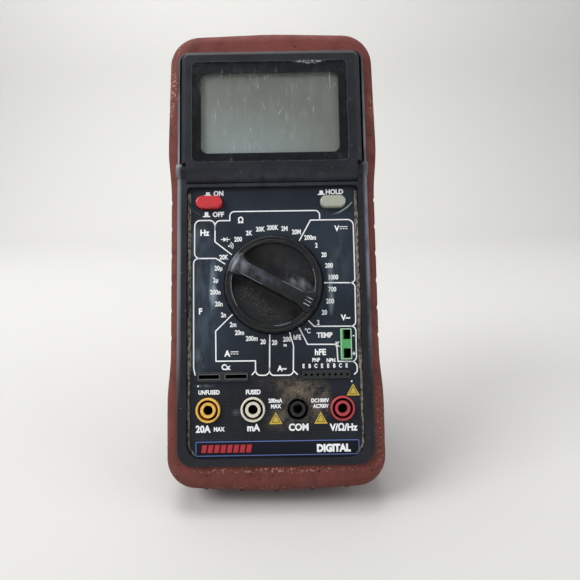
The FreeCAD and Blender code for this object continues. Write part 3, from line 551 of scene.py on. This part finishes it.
def knob_abs(colours):
    """ABS, moulded and handled for years: near black, greasy smears in the hollows, a painted bluish sheen
    along the grip and a painted highlight in the hollow beside it.
    """
    material, tree, shader, face = start("ABS, moulded and handled", IOR=1.54, Specular_IOR_Level=0.3)
    tone = layer(tree, tuple(colours.knob), linear("24231F"), blotches(tree, face, 5, 0.42, 0.75, 4))
    grease_and_sheen = blotches(tree, face, 3.0, 0.3, 0.75, 6, (1, 0.7, 1))
    specks = blotches(tree, face, 0.8, 0.45, 0.7, 5)
    # Patches by steps along and across the grip: a whitish patch at the grip's left end, painted bluish
    # sheen along the grip, a painted highlight in the upper hollow beside the grip, and greasy smears and
    # dusty specks elsewhere in the hollows.
    for along, across, extent, code, strength, film in (
            (-17, 0.8, (6, 5, 9), "8F949D", 1.5, grease_and_sheen), (-7, 0.5, (14, 3.8, 9), "4C525E", 1.1, grease_and_sheen),
            (9, 5.6, (9, 3.2, 9), "A3A5A9", 1.5, grease_and_sheen), (-7, -8.5, (9, 5, 9), "5D5A54", 1.1, specks),
            (3, 9, (10, 6, 9), "3C3C42", 0.9, grease_and_sheen), (2, -12, (10, 5, 9), "4A4843", 1.0, specks)):
        x, y = on_knob(along, across)
        near = patch(tree, face, (x, y, PANEL + 6), extent, KNOB_TURN)
        tone = layer(tree, tone, linear(code), near, film, strength=strength)
    finish(tree, shader, tone, (blotches(tree, face, 2.4, 0.3, 0.7, 4), 0.3, 0.55),
           (blotches(tree, face, 0.6, 0.2, 0.8), 0.03))
    return material


def worn_button(name, colour, dull):
    """ABS, moulded: glossy cap, dulled and soiled where fingers press it."""
    material, tree, shader, face = start(name, IOR=1.54)
    soil = blotches(tree, face, 1.6, 0.55, 0.85, 4)
    tone = layer(tree, tuple(colour), linear(dull), soil)
    finish(tree, shader, tone, (soil, 0.25, 0.55), (blotches(tree, face, 0.7, 0.2, 0.8), 0.02))
    return material


def jack_plastic(name, colour, deep):
    """Nylon, moulded: waxy gloss, soiled in specks, with painted shade darkening it down the well."""
    material, tree, shader, face = start(name, IOR=1.53)
    height = add(tree, "ShaderNodeSeparateXYZ", {"Vector": face}).outputs[2]
    depth = add(tree, "ShaderNodeMapRange", {"Value": height, "From Min": PANEL + 0.6,
                                             "From Max": PANEL - 3})
    soil = blotches(tree, face, 1.0, 0.55, 0.7, 5)
    # Painted shade: the colour darkens from the rim down into the well.
    tone = layer(tree, tuple(colour), linear(deep), depth.outputs[0])
    tone = layer(tree, tone, linear("5C4A38"), soil, strength=0.6)
    finish(tree, shader, tone, (soil, 0.3, 0.5), (blotches(tree, face, 0.6, 0.3, 0.7), 0.015))
    return material


def circuit_board():
    """Glass-epoxy board under green solder mask: glossy, with the copper tracks showing as paler lines."""
    material, tree, shader, face = start("glass epoxy, green solder mask", IOR=1.55)
    cells = add(tree, "ShaderNodeTexVoronoi", {"Vector": face, "Scale": 1 / 4}, distance="MANHATTAN",
                feature="DISTANCE_TO_EDGE").outputs[0]
    track = add(tree, "ShaderNodeMapRange", {"Value": cells, "From Min": 0.12, "From Max": 0.1}).outputs[0]
    tone = layer(tree, linear("17492C"), linear("2E7A4A"), track)
    finish(tree, shader, tone, (track, 0.35, 0.25), (track, 0.03))
    return material


# ---- operators -----------------------------------------------------------------------------------

class METER_OT_stage(bpy.types.Operator):
    """Pale floor running up into a wall, soft lights and the camera"""
    bl_idname = "meter.stage"
    bl_label = "Stage"

    def execute(self, context):
        stage = context.scene.meter_stage
        scene = context.scene
        self.backdrop(stage)
        self.lights(scene, stage)
        ahead = way(0, math.sin(stage.tilt), -math.cos(stage.tilt))
        head = way(0, math.cos(stage.tilt), math.sin(stage.tilt))
        side = RIGHT * math.cos(stage.roll) - head * math.sin(stage.roll)
        head = RIGHT * math.sin(stage.roll) + head * math.cos(stage.roll)
        data = bpy.data.cameras.new("camera")
        data.lens, data.sensor_width, data.clip_start = stage.lens, 36, 0.01
        camera = bpy.data.objects.new("camera", data)
        camera.matrix_world = Matrix((side, head, -ahead)).transposed().to_4x4()
        camera.matrix_world.translation = spot(*stage.eye)
        scene.collection.objects.link(camera)
        scene.camera = camera
        scene.view_settings.view_transform = "Standard"
        return {"FINISHED"}

    def backdrop(self, stage):
        """Floor, curved foot and wall in one sheet, in metres."""
        spread, wall, bend, top = 9.0, 1.1, 0.4, 7.0
        turns = [math.radians(90 * k / 12) for k in range(13)]
        edge = [(wall - bend + bend * math.sin(t), bend - bend * math.cos(t)) for t in turns]
        edge = [(-spread, 0.0)] + edge + [(wall, top)]
        points = [(x, y, z) for y, z in edge for x in (-spread, spread)]
        faces = [(2 * i, 2 * i + 1, 2 * i + 3, 2 * i + 2) for i in range(len(edge) - 1)]
        mesh = bpy.data.meshes.new("backdrop")
        mesh.from_pydata(points, [], faces)
        mesh.polygons.foreach_set("use_smooth", [True] * len(faces))
        material = bpy.data.materials.new("paper, matt")
        material.use_nodes = True
        shader = material.node_tree.nodes["Principled BSDF"]
        shader.inputs["Base Color"].default_value = stage.backdrop
        shader.inputs["Roughness"].default_value = 0.9
        mesh.materials.append(material)
        sheet = bpy.data.objects.new("backdrop", mesh)
        bpy.context.scene.collection.objects.link(sheet)

    def lights(self, scene, stage):
        meter = spot(0, 90, 15)
        for name, place, aim, width, power in (
                ("key", Vector((-0.9, -0.35, 0.9)), meter, 0.6, stage.key),
                ("fill", Vector((0.95, -0.3, 0.6)), meter, 0.8, stage.fill),
                ("wall", Vector((-0.2, 0.35, 1.3)), Vector((0, 1.0, 0.2)), 0.8, stage.wall)):
            data = bpy.data.lights.new(name, "AREA")
            data.energy, data.size = power, width
            lamp = bpy.data.objects.new(name, data)
            lamp.location = place
            lamp.rotation_euler = (aim - place).to_track_quat("-Z", "Y").to_euler()
            scene.collection.objects.link(lamp)
        scene.world = bpy.data.worlds.new("room")
        scene.world.use_nodes = True
        sky = scene.world.node_tree.nodes["Background"]
        sky.inputs["Color"].default_value = linear("F4F6F9")
        sky.inputs["Strength"].default_value = stage.room


class METER_OT_holster(bpy.types.Operator):
    """Rubber holster, its tilt stand and the stand's pin"""
    bl_idname = "meter.holster"
    bl_label = "Holster and Stand"

    def execute(self, context):
        dress(holster_rubber(context.scene.meter_colours), "holster")
        dress(moulded("polypropylene, moulded", linear("5E3633"), 0.5, 0.8, 0.04), "tilt_stand")
        dress(metal("steel, turned", "9A9A98", 0.35), "stand_hinge_pin")
        return {"FINISHED"}


class METER_OT_case(bpy.types.Operator):
    """Front and rear case and the display housing"""
    bl_idname = "meter.case"
    bl_label = "Case and Display Housing"

    def execute(self, context):
        dress(case_abs(context.scene.meter_colours), "front_shell", "rear_shell", "lid_front", "lid_back",
              "battery_door")
        return {"FINISHED"}


class METER_OT_panel(bpy.types.Operator):
    """Film on the face with its ribs, beads and the dust along its edges"""
    bl_idname = "meter.panel"
    bl_label = "Face Film"

    def execute(self, context):
        colours, sizes = context.scene.meter_colours, context.scene.meter_sizes
        film = face_film(colours)
        dress(film, "faceplate")
        ribs = self.ribs(sizes.rib_pitch / MM, sizes.rib_height / MM)
        piece_from("panel_ribs", ribs, film)
        bead = round_profile(0.8, PANEL - 0.02, 0.35)
        arcs = [ribbon([(25.6, 107.1), (29.7, 108.4, 12), (33.2, 110.8, 10), (35.25, 112.8)], bead),
                ribbon([(-32, 108.1), (-34, 109.2, 6), (-35.7, 110.6, 5), (-37.1, 114.0)], bead)]
        # Arcs below the buttons, carrying a painted highlight.
        piece_from("panel_beads", arcs, film_with_painted_highlight())
        side = flat_profile(1.35, PANEL - 0.02, PANEL + 0.06)
        corner = flat_profile(0.9, PANEL - 0.02, PANEL + 0.05)
        rims = [ribbon([(s * 36.85, 118), (s * 36.85, 40)], side) for s in (-1, 1)]
        rims += [ribbon([(s * 37.05, 40), (s * 37.05, 8.0, 3), (s * 34.3, 4.4)], corner) for s in (-1, 1)]
        piece_from("panel_dust", rims, dried_dust(colours))
        return {"FINISHED"}

    def ribs(self, pitch, height):
        """Level ridges between the name strip and the ranges, stopping short of jacks and sockets."""
        first_row, last_row, end, jack_gap, socket_gap, sunk = 10.8, 40.2, 36.0, 5.8, 0.5, 0.02
        profile = [(-0.25, PANEL - sunk), (-0.12, PANEL + height), (0.12, PANEL + height),
                   (0.25, PANEL - sunk)]
        shapes = []
        for k in range(int((last_row - first_row) / pitch) + 1):
            y = first_row + pitch * k
            blocks = []
            for name in JACKS:
                x, jack_y = middle("jack_shroud_" + name)
                if abs(y - jack_y) < jack_gap:
                    half = math.sqrt(jack_gap ** 2 - (y - jack_y) ** 2)
                    blocks.append((x - half, x + half))
            for name in ("cx_socket", "hfe_socket"):
                low_x, low_y, high_x, high_y = extent(name)
                if low_y - socket_gap < y < high_y + socket_gap:
                    blocks.append((low_x - socket_gap, high_x + socket_gap))
            x = -end
            for low, high in sorted(blocks) + [(end, end)]:
                if low - x > 0.5:
                    shapes.append(ribbon([(x, y), (low, y)], profile))
                x = max(x, high)
        return shapes


# Lines round the ranges as corners (x, y) or (x, y, radius)
ZONES = {
    "ohm": [(-18.2, 90.1), (-25.6, 96.0), (-25.5, 105.4, 2.2), (-19, 105.4), (-19, 109.4, 2),
            (20.7, 109.3, 2), (20.7, 104.9)],
    "hertz": [(-25.6, 101), (-25.6, 105.6, 2.4), (-34.5, 105.6, 2.4), (-34.6, 88.7, 2.4), (-25.2, 88.6, 1),
              (-21.1, 86.0)],
    "farad": [(-32, 88.7), (-35, 88.6, 2.2), (-34.9, 41, 8), (-34.2, 38)],
    "amp_dc": [(-18, 64), (-25.4, 56.8), (-25.3, 43.9), (-8.3, 43.8), (-8.3, 37.6, 2.2), (-2.3, 37.6, 2.2),
               (-2.0, 55)],
    "amp_dc_tail": [(-8.3, 39.6), (-9.9, 37.8)],
    "amp_ac": [(-2.3, 41), (-2.3, 37.5, 2), (7.9, 37.5, 2), (8.2, 49.9), (6.6, 55.8)],
    "amp_ac_tail": [(8, 39.4), (9.8, 37.6)],
    "gain": [(10.8, 57.7), (14.3, 50.5), (26.9, 50.3), (27.2, 43), (35.4, 42.9, 2.4), (35.4, 38.6, 1),
             (34, 37.3)],
    "temp": [(32.8, 42.9), (35.2, 42.9, 2), (35.3, 58, 2), (33, 58)],
    "volt_ac": [(14.8, 60.8), (17.3, 58.2), (35.3, 58, 2), (35.5, 76.9, 2), (22, 77.1)],
    "volt_dc": [(33, 76.9), (35.5, 76.9, 1.8), (35.5, 105, 2.6), (16.6, 105), (11.5, 95.8)],
}

# Range numbers anticlockwise round the knob; the empty place holds two symbols
RANGES = ["1000", "200", "20", "2", "200m", "20M", "2M", "200K", "20K", "2K", "200", "", "20K", "20μ",
          "2μ", "200n", "20n", "2n", "2m", "20m", "200m", "20", "20", "200", "hFE", "°C", "2", "20",
          "200", "700"]
# Degrees: where the first number stands, and the step between numbers
FIRST_ANGLE, RANGE_STEP = 6.5, 12
# Steps (x, y) that keep a number clear of the lines, by its place in RANGES
NUDGE = {2: (0.3, 0), 3: (-0.3, 0), 4: (0.8, 0), 12: (0.6, 0), 13: (0.4, 0), 15: (0.5, 0), 16: (0.4, 0),
         18: (1.0, 0), 20: (1.0, 0), 21: (0.2, 0.1), 22: (-0.2, 0.2), 23: (-0.2, 0.9), 24: (-0.9, 0),
         25: (-0.8, 0), 26: (-0.5, 0), 27: (-0.3, 0)}

# Words on the face: text, x, y, cap height
WORDS = [
    ("Ω", -14.2, 105.6, 2.6), ("Hz", -30.2, 100.2, 2.7), ("F", -32, 65.6, 2.6),
    ("V", 28.2, 101.2, 2.5), ("V~", 31, 61.9, 2.5), ("TEMP", 21.7, 54.45, 2.2),
    ("hFE", 19.7, 47.2, 2.6), ("PNP", 17.8, 43.85, 1.6), ("NPN", 24.2, 43.6, 1.6),
    ("K", 27.2, 50.4, 2.2), ("-", 34.2, 54.25, 2.0), ("+", 34.2, 46.33, 2.0),
    ("A", -20.4, 47.2, 2.6), ("A~", 3.1, 40.5, 2.4), ("Cx", -21.1, 41.4, 2.4),
    ("ON", -23.95, 117.8, 2.2), ("OFF", -24.1, 108.3, 2.2), ("HOLD", 27.5, 117.7, 2.2),
    ("UNFUSED", -28.3, 30.8, 1.8), ("FUSED", -9.4, 30.65, 1.9), ("200mA", 0, 26.9, 1.7),
    ("MAX", 0.2, 24.5, 1.7), ("DC1000V", 19.1, 26.7, 1.6), ("AC700V", 19.4, 24.3, 1.6),
    ("20A", -30.9, 15.5, 2.9), ("MAX", -24.1, 15.3, 1.8), ("mA", -9.5, 15.8, 2.9), ("COM", 9.85, 15.7, 2.9),
    ("V/Ω/Hz", 28.9, 15.4, 2.9), ("m", 4.6, 50.5, 1.5),
]
# Letters over the transistor socket
SOCKET_LETTER_X, SOCKET_LETTER_STEP = 12.35, 2.644


class METER_OT_legend(bpy.types.Operator):
    """Lines, numbers and words printed in white on the face"""
    bl_idname = "meter.legend"
    bl_label = "Printed Legend"

    def execute(self, context):
        colours, sizes = context.scene.meter_colours, context.scene.meter_sizes
        low, high = PANEL + 0.01, PANEL + sizes.ink / MM
        ink = printed("screen ink, white", colours.ink)
        line = flat_profile(sizes.line / MM, low, high)
        piece_from("legend_lines", [ribbon(corners, line) for corners in ZONES.values()], ink)
        radius, cap = sizes.dial_radius / MM, sizes.dial_text / MM
        numbers = []
        for k, text in enumerate(RANGES):
            angle = math.radians(FIRST_ANGLE + RANGE_STEP * k)
            x, y = KNOB_AT[0] + radius * math.cos(angle), KNOB_AT[1] + radius * math.sin(angle)
            x += math.copysign(0.5 * (len(text) - 2.3), math.cos(angle)) * min(1, 2 * abs(math.cos(angle)))
            if text:
                step_x, step_y = NUDGE.get(k, (0, 0))
                numbers.append(words(text, x + step_x, y + step_y, cap, low, high, bold=0.05))
        piece_from("legend_numbers", numbers, ink)
        lettering = [words(text, x, y, cap, low, high, narrow=0.93 if cap > 1.9 else 0.85, bold=0.055)
                     for text, x, y, cap in WORDS]
        lettering.append(words("DIGITAL", 24.4, 6.9, 3.0, low, high, narrow=0.92, bold=0.08))
        lettering += [words(letter, SOCKET_LETTER_X + k * SOCKET_LETTER_STEP, 41.3, 1.7, low, high)
                      for k, letter in enumerate("EBCEEBCE")]
        piece_from("legend_words", lettering, ink)
        piece_from("legend_symbols", self.symbols(low, high), ink)
        return {"FINISHED"}

    def symbols(self, low, high):
        """Direct-current marks, diode and buzzer, push-button marks and two dots."""
        thin = flat_profile(0.32, low, high)
        shapes = []
        for x, y in ((31.2, 101.3), (-17.3, 47.3)):
            dashes = [(x + step - 0.42, x + step + 0.42) for step in (-1.27, 0, 1.27)]
            shapes.append(ribbon([(x - 1.7, y + 0.5), (x + 1.7, y + 0.5)], thin))
            shapes += [ribbon([(first, y - 0.4), (last, y - 0.4)], thin) for first, last in dashes]
        x, y = -21, 96.95
        shapes += [ribbon([(x - 2.0, y), (x + 2.0, y)], thin),
                   ribbon([(x + 0.75, y - 1), (x + 0.75, y + 1)], thin),
                   slab([(x - 0.9, y - 1), (x + 0.7, y), (x - 0.9, y + 1)], low, high)]
        x, y = -19.4, 94.0
        shapes.append(disc(x, y, 0.4, low, high))
        for radius in (1.0, 1.8):
            arc = [(x + radius * math.cos(a), y + radius * math.sin(a))
                   for a in (math.radians(10 + 14 * k) for k in range(-4, 5))]
            shapes.append(ribbon(arc, thin))
        for x, y, rise in ((-28.7, 117.6, 1.3), (-29.3, 108.1, 1.9), (21.7, 117.3, 1.6)):
            shapes += [ribbon([(x - 1.6, y - 0.75), (x + 1.6, y - 0.75)], flat_profile(0.5, low, high)),
                       slab([(x - 0.9, y - 0.6), (x + 0.9, y - 0.6), (x + 0.75, y - 0.6 + rise),
                             (x - 0.75, y - 0.6 + rise)], low, high)]
        shapes += [disc(-33, 33.4, 0.35, low, high), disc(32.9, 34.5, 0.35, low, high)]
        return shapes


class METER_OT_badges(bpy.types.Operator):
    """Name strip with plain blocks, and plain yellow triangles beside the jacks"""
    bl_idname = "meter.badges"
    bl_label = "Name Strip and Triangles"

    def execute(self, context):
        colours, sizes = context.scene.meter_colours, context.scene.meter_sizes
        low, high = PANEL + 0.01, PANEL + sizes.ink / MM
        strip = (-34.0, 4.05, 35.4, 10.15)
        corners = [(strip[0], strip[1]), (strip[2], strip[1]), (strip[2], strip[3]), (strip[0], strip[3])]
        piece_from("strip_ground", [slab(corners, PANEL, PANEL + 0.05)],
                   printed("screen ink, navy", linear("0A0D1B")))
        piece_from("strip_outline", [outline(strip, 0.35, low, high, 0.3)],
                   printed("screen ink, blue", colours.strip_line))
        blocks = []
        pitch, wide, lean, foot, top = 2.72, 2.0, 0.55, 5.5, 8.7
        for k in range(8):
            x = -31.7 + pitch * k
            corners = [(x, foot), (x + wide, foot), (x + wide + lean, top), (x + lean, top)]
            blocks.append(slab(corners, low, high))
        piece_from("strip_blocks", blocks, printed("screen ink, red", colours.badge))
        triangles, edges = [], []
        half, rise, inner, drop = 2.85, 2.5, 0.62, 0.35
        for x, y in ((0.1, 19.5), (19.3, 19.4), (33.4, 31.0)):
            corners = [(-half, -rise), (half, -rise), (0, rise)]
            triangles.append(slab([(x + a, y + b) for a, b in corners], low, high))
            ring = [(x + a * inner, y - drop + (b + drop) * inner, 0.2) for a, b in corners]
            edges.append(ribbon(ring, flat_profile(0.22, high, high + 0.03), True))
        piece_from("caution_triangles", triangles, printed("screen ink, yellow", colours.caution, 0.62))
        piece_from("caution_edges", edges, printed("screen ink, black", linear("2A2618")))
        return {"FINISHED"}


class METER_OT_display(bpy.types.Operator):
    """Clear window with its scratches, black mask and the unlit display"""
    bl_idname = "meter.display"
    bl_label = "Display"

    def execute(self, context):
        colours = context.scene.meter_colours
        dress(window_acrylic(), "display_window")
        dress(moulded("lacquer, gloss black", linear("06070B"), 0.25, 2.0, 0.005, 0.15), "window_mask")
        dress(liquid_crystal(colours), "lcd_glass")
        front = level("display_window")
        hair = [(-0.06, front + 0.005), (0, front + 0.03), (0.06, front + 0.005)]
        cuts = [[(-9.2, 144.4), (-8.9, 143.6), (-8.3, 142.5)], [(-7.1, 139.1), (-5.6, 136.4), (-3.0, 133.8)],
                [(2.9, 150.5), (4.0, 151.7)], [(3.4, 151.2), (5.3, 154.1)], [(26.0, 170.3), (26.1, 162.3)]]
        draw = random.Random(11)
        for _ in range(26):
            x, y, run = draw.uniform(-27, 27), draw.uniform(134, 168), draw.uniform(0.8, 3.2)
            slant = draw.gauss(0, 0.25)
            cuts.append([(x, y), (x + run * slant, y + run)])
        scratch = printed("acrylic, scratched white", linear("B9C0C1"), 0.5)
        piece_from("window_scratches", [ribbon(cut, hair) for cut in cuts], scratch, "display_lid")
        rim = outline(extent("display_window"), 0.22, front - 0.05, front + 0.03, 2.4)
        edge = printed("acrylic, edge catching light", linear("363943"), 0.5)
        piece_from("window_rim", [rim], edge, "display_lid")
        return {"FINISHED"}


def ease(value, low, high):
    """0 below low, 1 above high, smooth between them."""
    t = min(1.0, max(0.0, (value - low) / (high - low)))
    return t * t * (3 - 2 * t)


def knob_height(along, across, sizes, foot):
    """Height of the knob's front above its foot, at steps along and across its grip."""
    rounding, groove, dish, bowl, flare = 1.1, 0.45, 1.6, 2.2, 1.6
    r = math.hypot(along, across)
    rim, edge = sizes.knob_rim / MM - foot, sizes.knob_radius / MM
    height = rim - rounding * ease(r, edge - 0.9, edge) ** 2
    height -= groove * ease(r, edge - 2.0, edge - 1.7) * (1 - ease(r, edge - 1.5, edge - 1.2))
    side = abs(across) - sizes.grip_width / MM / 2 - flare * ease(abs(along), 12.5, 18)
    wall = edge - 3.4
    hollow = ease(side, 0.0, 0.55) * (1 - ease(r, wall - 0.3, wall + 0.3))
    height -= hollow * (dish + bowl * (1 - ease(side, 0.5, 10.0)))
    grip = (1 - ease(side, -0.45, 0.05)) * (1 - ease(abs(along), edge - 3.2, edge - 0.9))
    return height + grip * (sizes.grip_top - sizes.knob_rim) / MM


class METER_OT_knob(bpy.types.Operator):
    """Range knob: rim, grip across the middle, a hollow either side, three pointer lines and painted
    highlights along the edges
    """
    bl_idname = "meter.knob"
    bl_label = "Range Knob"

    def execute(self, context):
        sizes = context.scene.meter_sizes
        foot = (reach("selector_knob", OUT)[0] - BACK) / MM
        low, edge = sizes.knob_foot / MM, sizes.knob_radius / MM
        rings, spokes = 96, 300
        points, faces = [(KNOB_AT[0], KNOB_AT[1], foot + knob_height(0, 0, sizes, foot))], []
        for i in range(1, rings + 3):
            r = edge * min(i, rings) / rings if i < rings + 2 else edge - 3
            for k in range(spokes):
                angle = math.tau * k / spokes
                along, across = r * math.cos(angle), r * math.sin(angle)
                z = foot + knob_height(along, across, sizes, foot) if i <= rings else low
                points.append(on_knob(along, across) + (z,))
        for k in range(spokes):
            on = (k + 1) % spokes
            faces.append([0, 1 + k, 1 + on])
            for i in range(rings + 1):
                a, b = 1 + i * spokes, 1 + (i + 1) * spokes
                faces.append([a + k, b + k, b + on, a + on])
        faces.append([1 + (rings + 1) * spokes + k for k in range(spokes)][::-1])
        material = knob_abs(context.scene.meter_colours)
        dress(material, "selector_knob")
        knob = piece_from("range_knob", [(points, faces)], material, "range_knob")
        knob.data.polygons.foreach_set("use_smooth", [True] * (len(faces) - 1) + [False])
        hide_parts("selector_knob")
        top = sizes.grip_top / MM
        line = flat_profile(0.35, top - 0.6, top + 0.03)
        lines = [ribbon([on_knob(15.2, across), on_knob(18.0, across)], line) for across in (-1.5, 0, 1.5)]
        ink = printed("screen ink, worn grey", linear("A9AFB6"), 0.5)
        piece_from("knob_lines", lines, ink, "range_knob")
        self.edge_highlights(sizes)
        return {"FINISHED"}

    def edge_highlights(self, sizes):
        """Painted highlights: pale lines along the edges of the hollows and of the grip, where those edges
        catch the light.
        """
        rim, wall = sizes.knob_rim / MM, sizes.knob_radius / MM - 2.9
        hair = flat_profile(0.28, rim - 0.1, rim + 0.03)
        arcs = []
        for first, last in ((12, 48), (-172, -120), (-60, -38)):
            turns = [math.radians(first + (last - first) * k / 12) for k in range(13)]
            arcs.append(ribbon([on_knob(wall * math.cos(t), wall * math.sin(t)) for t in turns], hair))
        grip = flat_profile(0.25, sizes.grip_top / MM - 0.15, sizes.grip_top / MM + 0.02)
        half = sizes.grip_width / MM / 2 - 0.55
        arcs += [ribbon([on_knob(3, half), on_knob(13, half)], grip),
                 ribbon([on_knob(-14, -half), on_knob(-4, -half)], grip)]
        # Painted highlights, in a pale grey material.
        piece_from("knob_wear", arcs, printed("ABS, polished pale", linear("777B80"), 0.5), "range_knob")


class METER_OT_buttons(bpy.types.Operator):
    """Power and hold buttons"""
    bl_idname = "meter.buttons"
    bl_label = "Buttons"

    def execute(self, context):
        colours = context.scene.meter_colours
        dress(worn_button("ABS, moulded red", colours.power, "9A2A30"), "power_button")
        dress(worn_button("ABS, moulded grey", colours.hold, "9A9A8A"), "hold_button")
        return {"FINISHED"}


class METER_OT_jacks(bpy.types.Operator):
    """Four banana jacks: moulded shrouds and plated sleeves"""
    bl_idname = "meter.jacks"
    bl_label = "Banana Jacks"

    def execute(self, context):
        colours = context.scene.meter_colours
        # Each shroud's colour, and the darker colour painted as shade down its well.
        for name, deep in zip(JACKS, ("A8662A", "8F8878", "0E0F10", "4A1216")):
            dress(jack_plastic("nylon, moulded " + name, getattr(colours, "jack_" + name), deep),
                  "jack_shroud_" + name)
        dress(metal("nickel plate, worn", "6E675A", 0.4), *("jack_contact_" + name for name in JACKS))
        return {"FINISHED"}


class METER_OT_sockets(bpy.types.Operator):
    """Capacitance, transistor and temperature sockets"""
    bl_idname = "meter.sockets"
    bl_label = "Sockets"

    def execute(self, context):
        colours = context.scene.meter_colours
        dress(moulded("nylon, moulded black", linear("1F2225"), 0.45), "cx_socket", "hfe_socket")
        dress(worn_button("nylon, moulded green", colours.thermo, "7FB588"), "temp_socket")
        front, above = level("cx_socket"), level("temp_socket")
        slots = [outline((low, 36.2, high, 38.4), 0.22, front - 0.02, front + 0.03)
                 for low, high in ((-32.9, -23.6), (-21.4, -11.8))]
        grey = printed("nylon, rubbed grey", linear("6E7072"))
        piece_from("socket_edges", slots, grey, "case")
        edge = outline(extent("temp_socket"), 0.45, above - 0.02, above + 0.03)
        green = printed("nylon, rubbed green", linear("A5CBA9"))
        piece_from("temp_edges", [edge], green, "case")
        dress(metal("tin plate, tarnished", "3B3833", 0.5), "cx_contacts", "hfe_contacts", "temp_contacts")
        return {"FINISHED"}


class METER_OT_inside(bpy.types.Operator):
    """Everything inside the case and the display housing"""
    bl_idname = "meter.inside"
    bl_label = "Inside"

    def execute(self, context):
        dress(circuit_board(), "main_board", "display_board")
        dress(metal("steel, zinc plated", "A6A6A2", 0.35), "case_screws", "battery_door_screw",
              "board_screws", "lid_screws", "lid_hinge_pins", "detent_balls", "detent_springs")
        dress(metal("brass, bright", "B9954E", 0.3), "fuse_clips", "current_shunt", "wiper_contacts")
        dress(moulded("epoxy, moulded black", linear("1A1B1D"), 0.5), "adc_chip", "buzzer", "battery_snap",
              "power_switch", "hold_switch")
        dress(moulded("acetal, moulded white", linear("D8D8D0"), 0.4), "lcd_holder", "knob_rotor")
        dress(moulded("polyester film, dipped blue", linear("2B4F9A"), 0.35), "trimmers", "capacitors")
        dress(moulded("steel can, printed", linear("3A3F46"), 0.35), "battery_9v")
        dress(moulded("PVC, red", linear("A02020"), 0.45), "battery_leads")
        dress(moulded("glass, cloudy", linear("C8D0D0"), 0.15), "fuse")
        dress(moulded("silicone rubber, carbon striped", linear("C9A0A0"), 0.6), "zebra_strips")
        dress(moulded("polyimide, amber", linear("A5691E"), 0.35), "display_flex")
        return {"FINISHED"}


OPERATORS = (METER_OT_stage, METER_OT_holster, METER_OT_case, METER_OT_panel, METER_OT_legend,
             METER_OT_badges, METER_OT_display, METER_OT_knob, METER_OT_buttons, METER_OT_jacks,
             METER_OT_sockets, METER_OT_inside)


class METER_PT_panel(bpy.types.Panel):
    """Buttons for every piece, then the colours and sizes"""
    bl_idname = "METER_PT_panel"
    bl_label = "Bench Multimeter"
    bl_space_type = "VIEW_3D"
    bl_region_type = "UI"
    bl_category = "Multimeter"

    def draw(self, context):
        for operator in OPERATORS:
            self.layout.operator(operator.bl_idname)
        for settings in (context.scene.meter_colours, context.scene.meter_sizes, context.scene.meter_stage):
            box = self.layout.box()
            for name in settings.__annotations__:
                box.prop(settings, name)


CLASSES = (MeterColours, MeterSizes, MeterStage) + OPERATORS + (METER_PT_panel,)


def register():
    for item in CLASSES:
        bpy.utils.register_class(item)
    bpy.types.Scene.meter_colours = PointerProperty(type=MeterColours)
    bpy.types.Scene.meter_sizes = PointerProperty(type=MeterSizes)
    bpy.types.Scene.meter_stage = PointerProperty(type=MeterStage)


def unregister():
    del bpy.types.Scene.meter_colours, bpy.types.Scene.meter_sizes, bpy.types.Scene.meter_stage
    for item in reversed(CLASSES):
        bpy.utils.unregister_class(item)


def main():
    register()
    for operator in OPERATORS:
        group, name = operator.bl_idname.split(".")
        getattr(getattr(bpy.ops, group), name)()


if __name__ == "__main__":
    main()
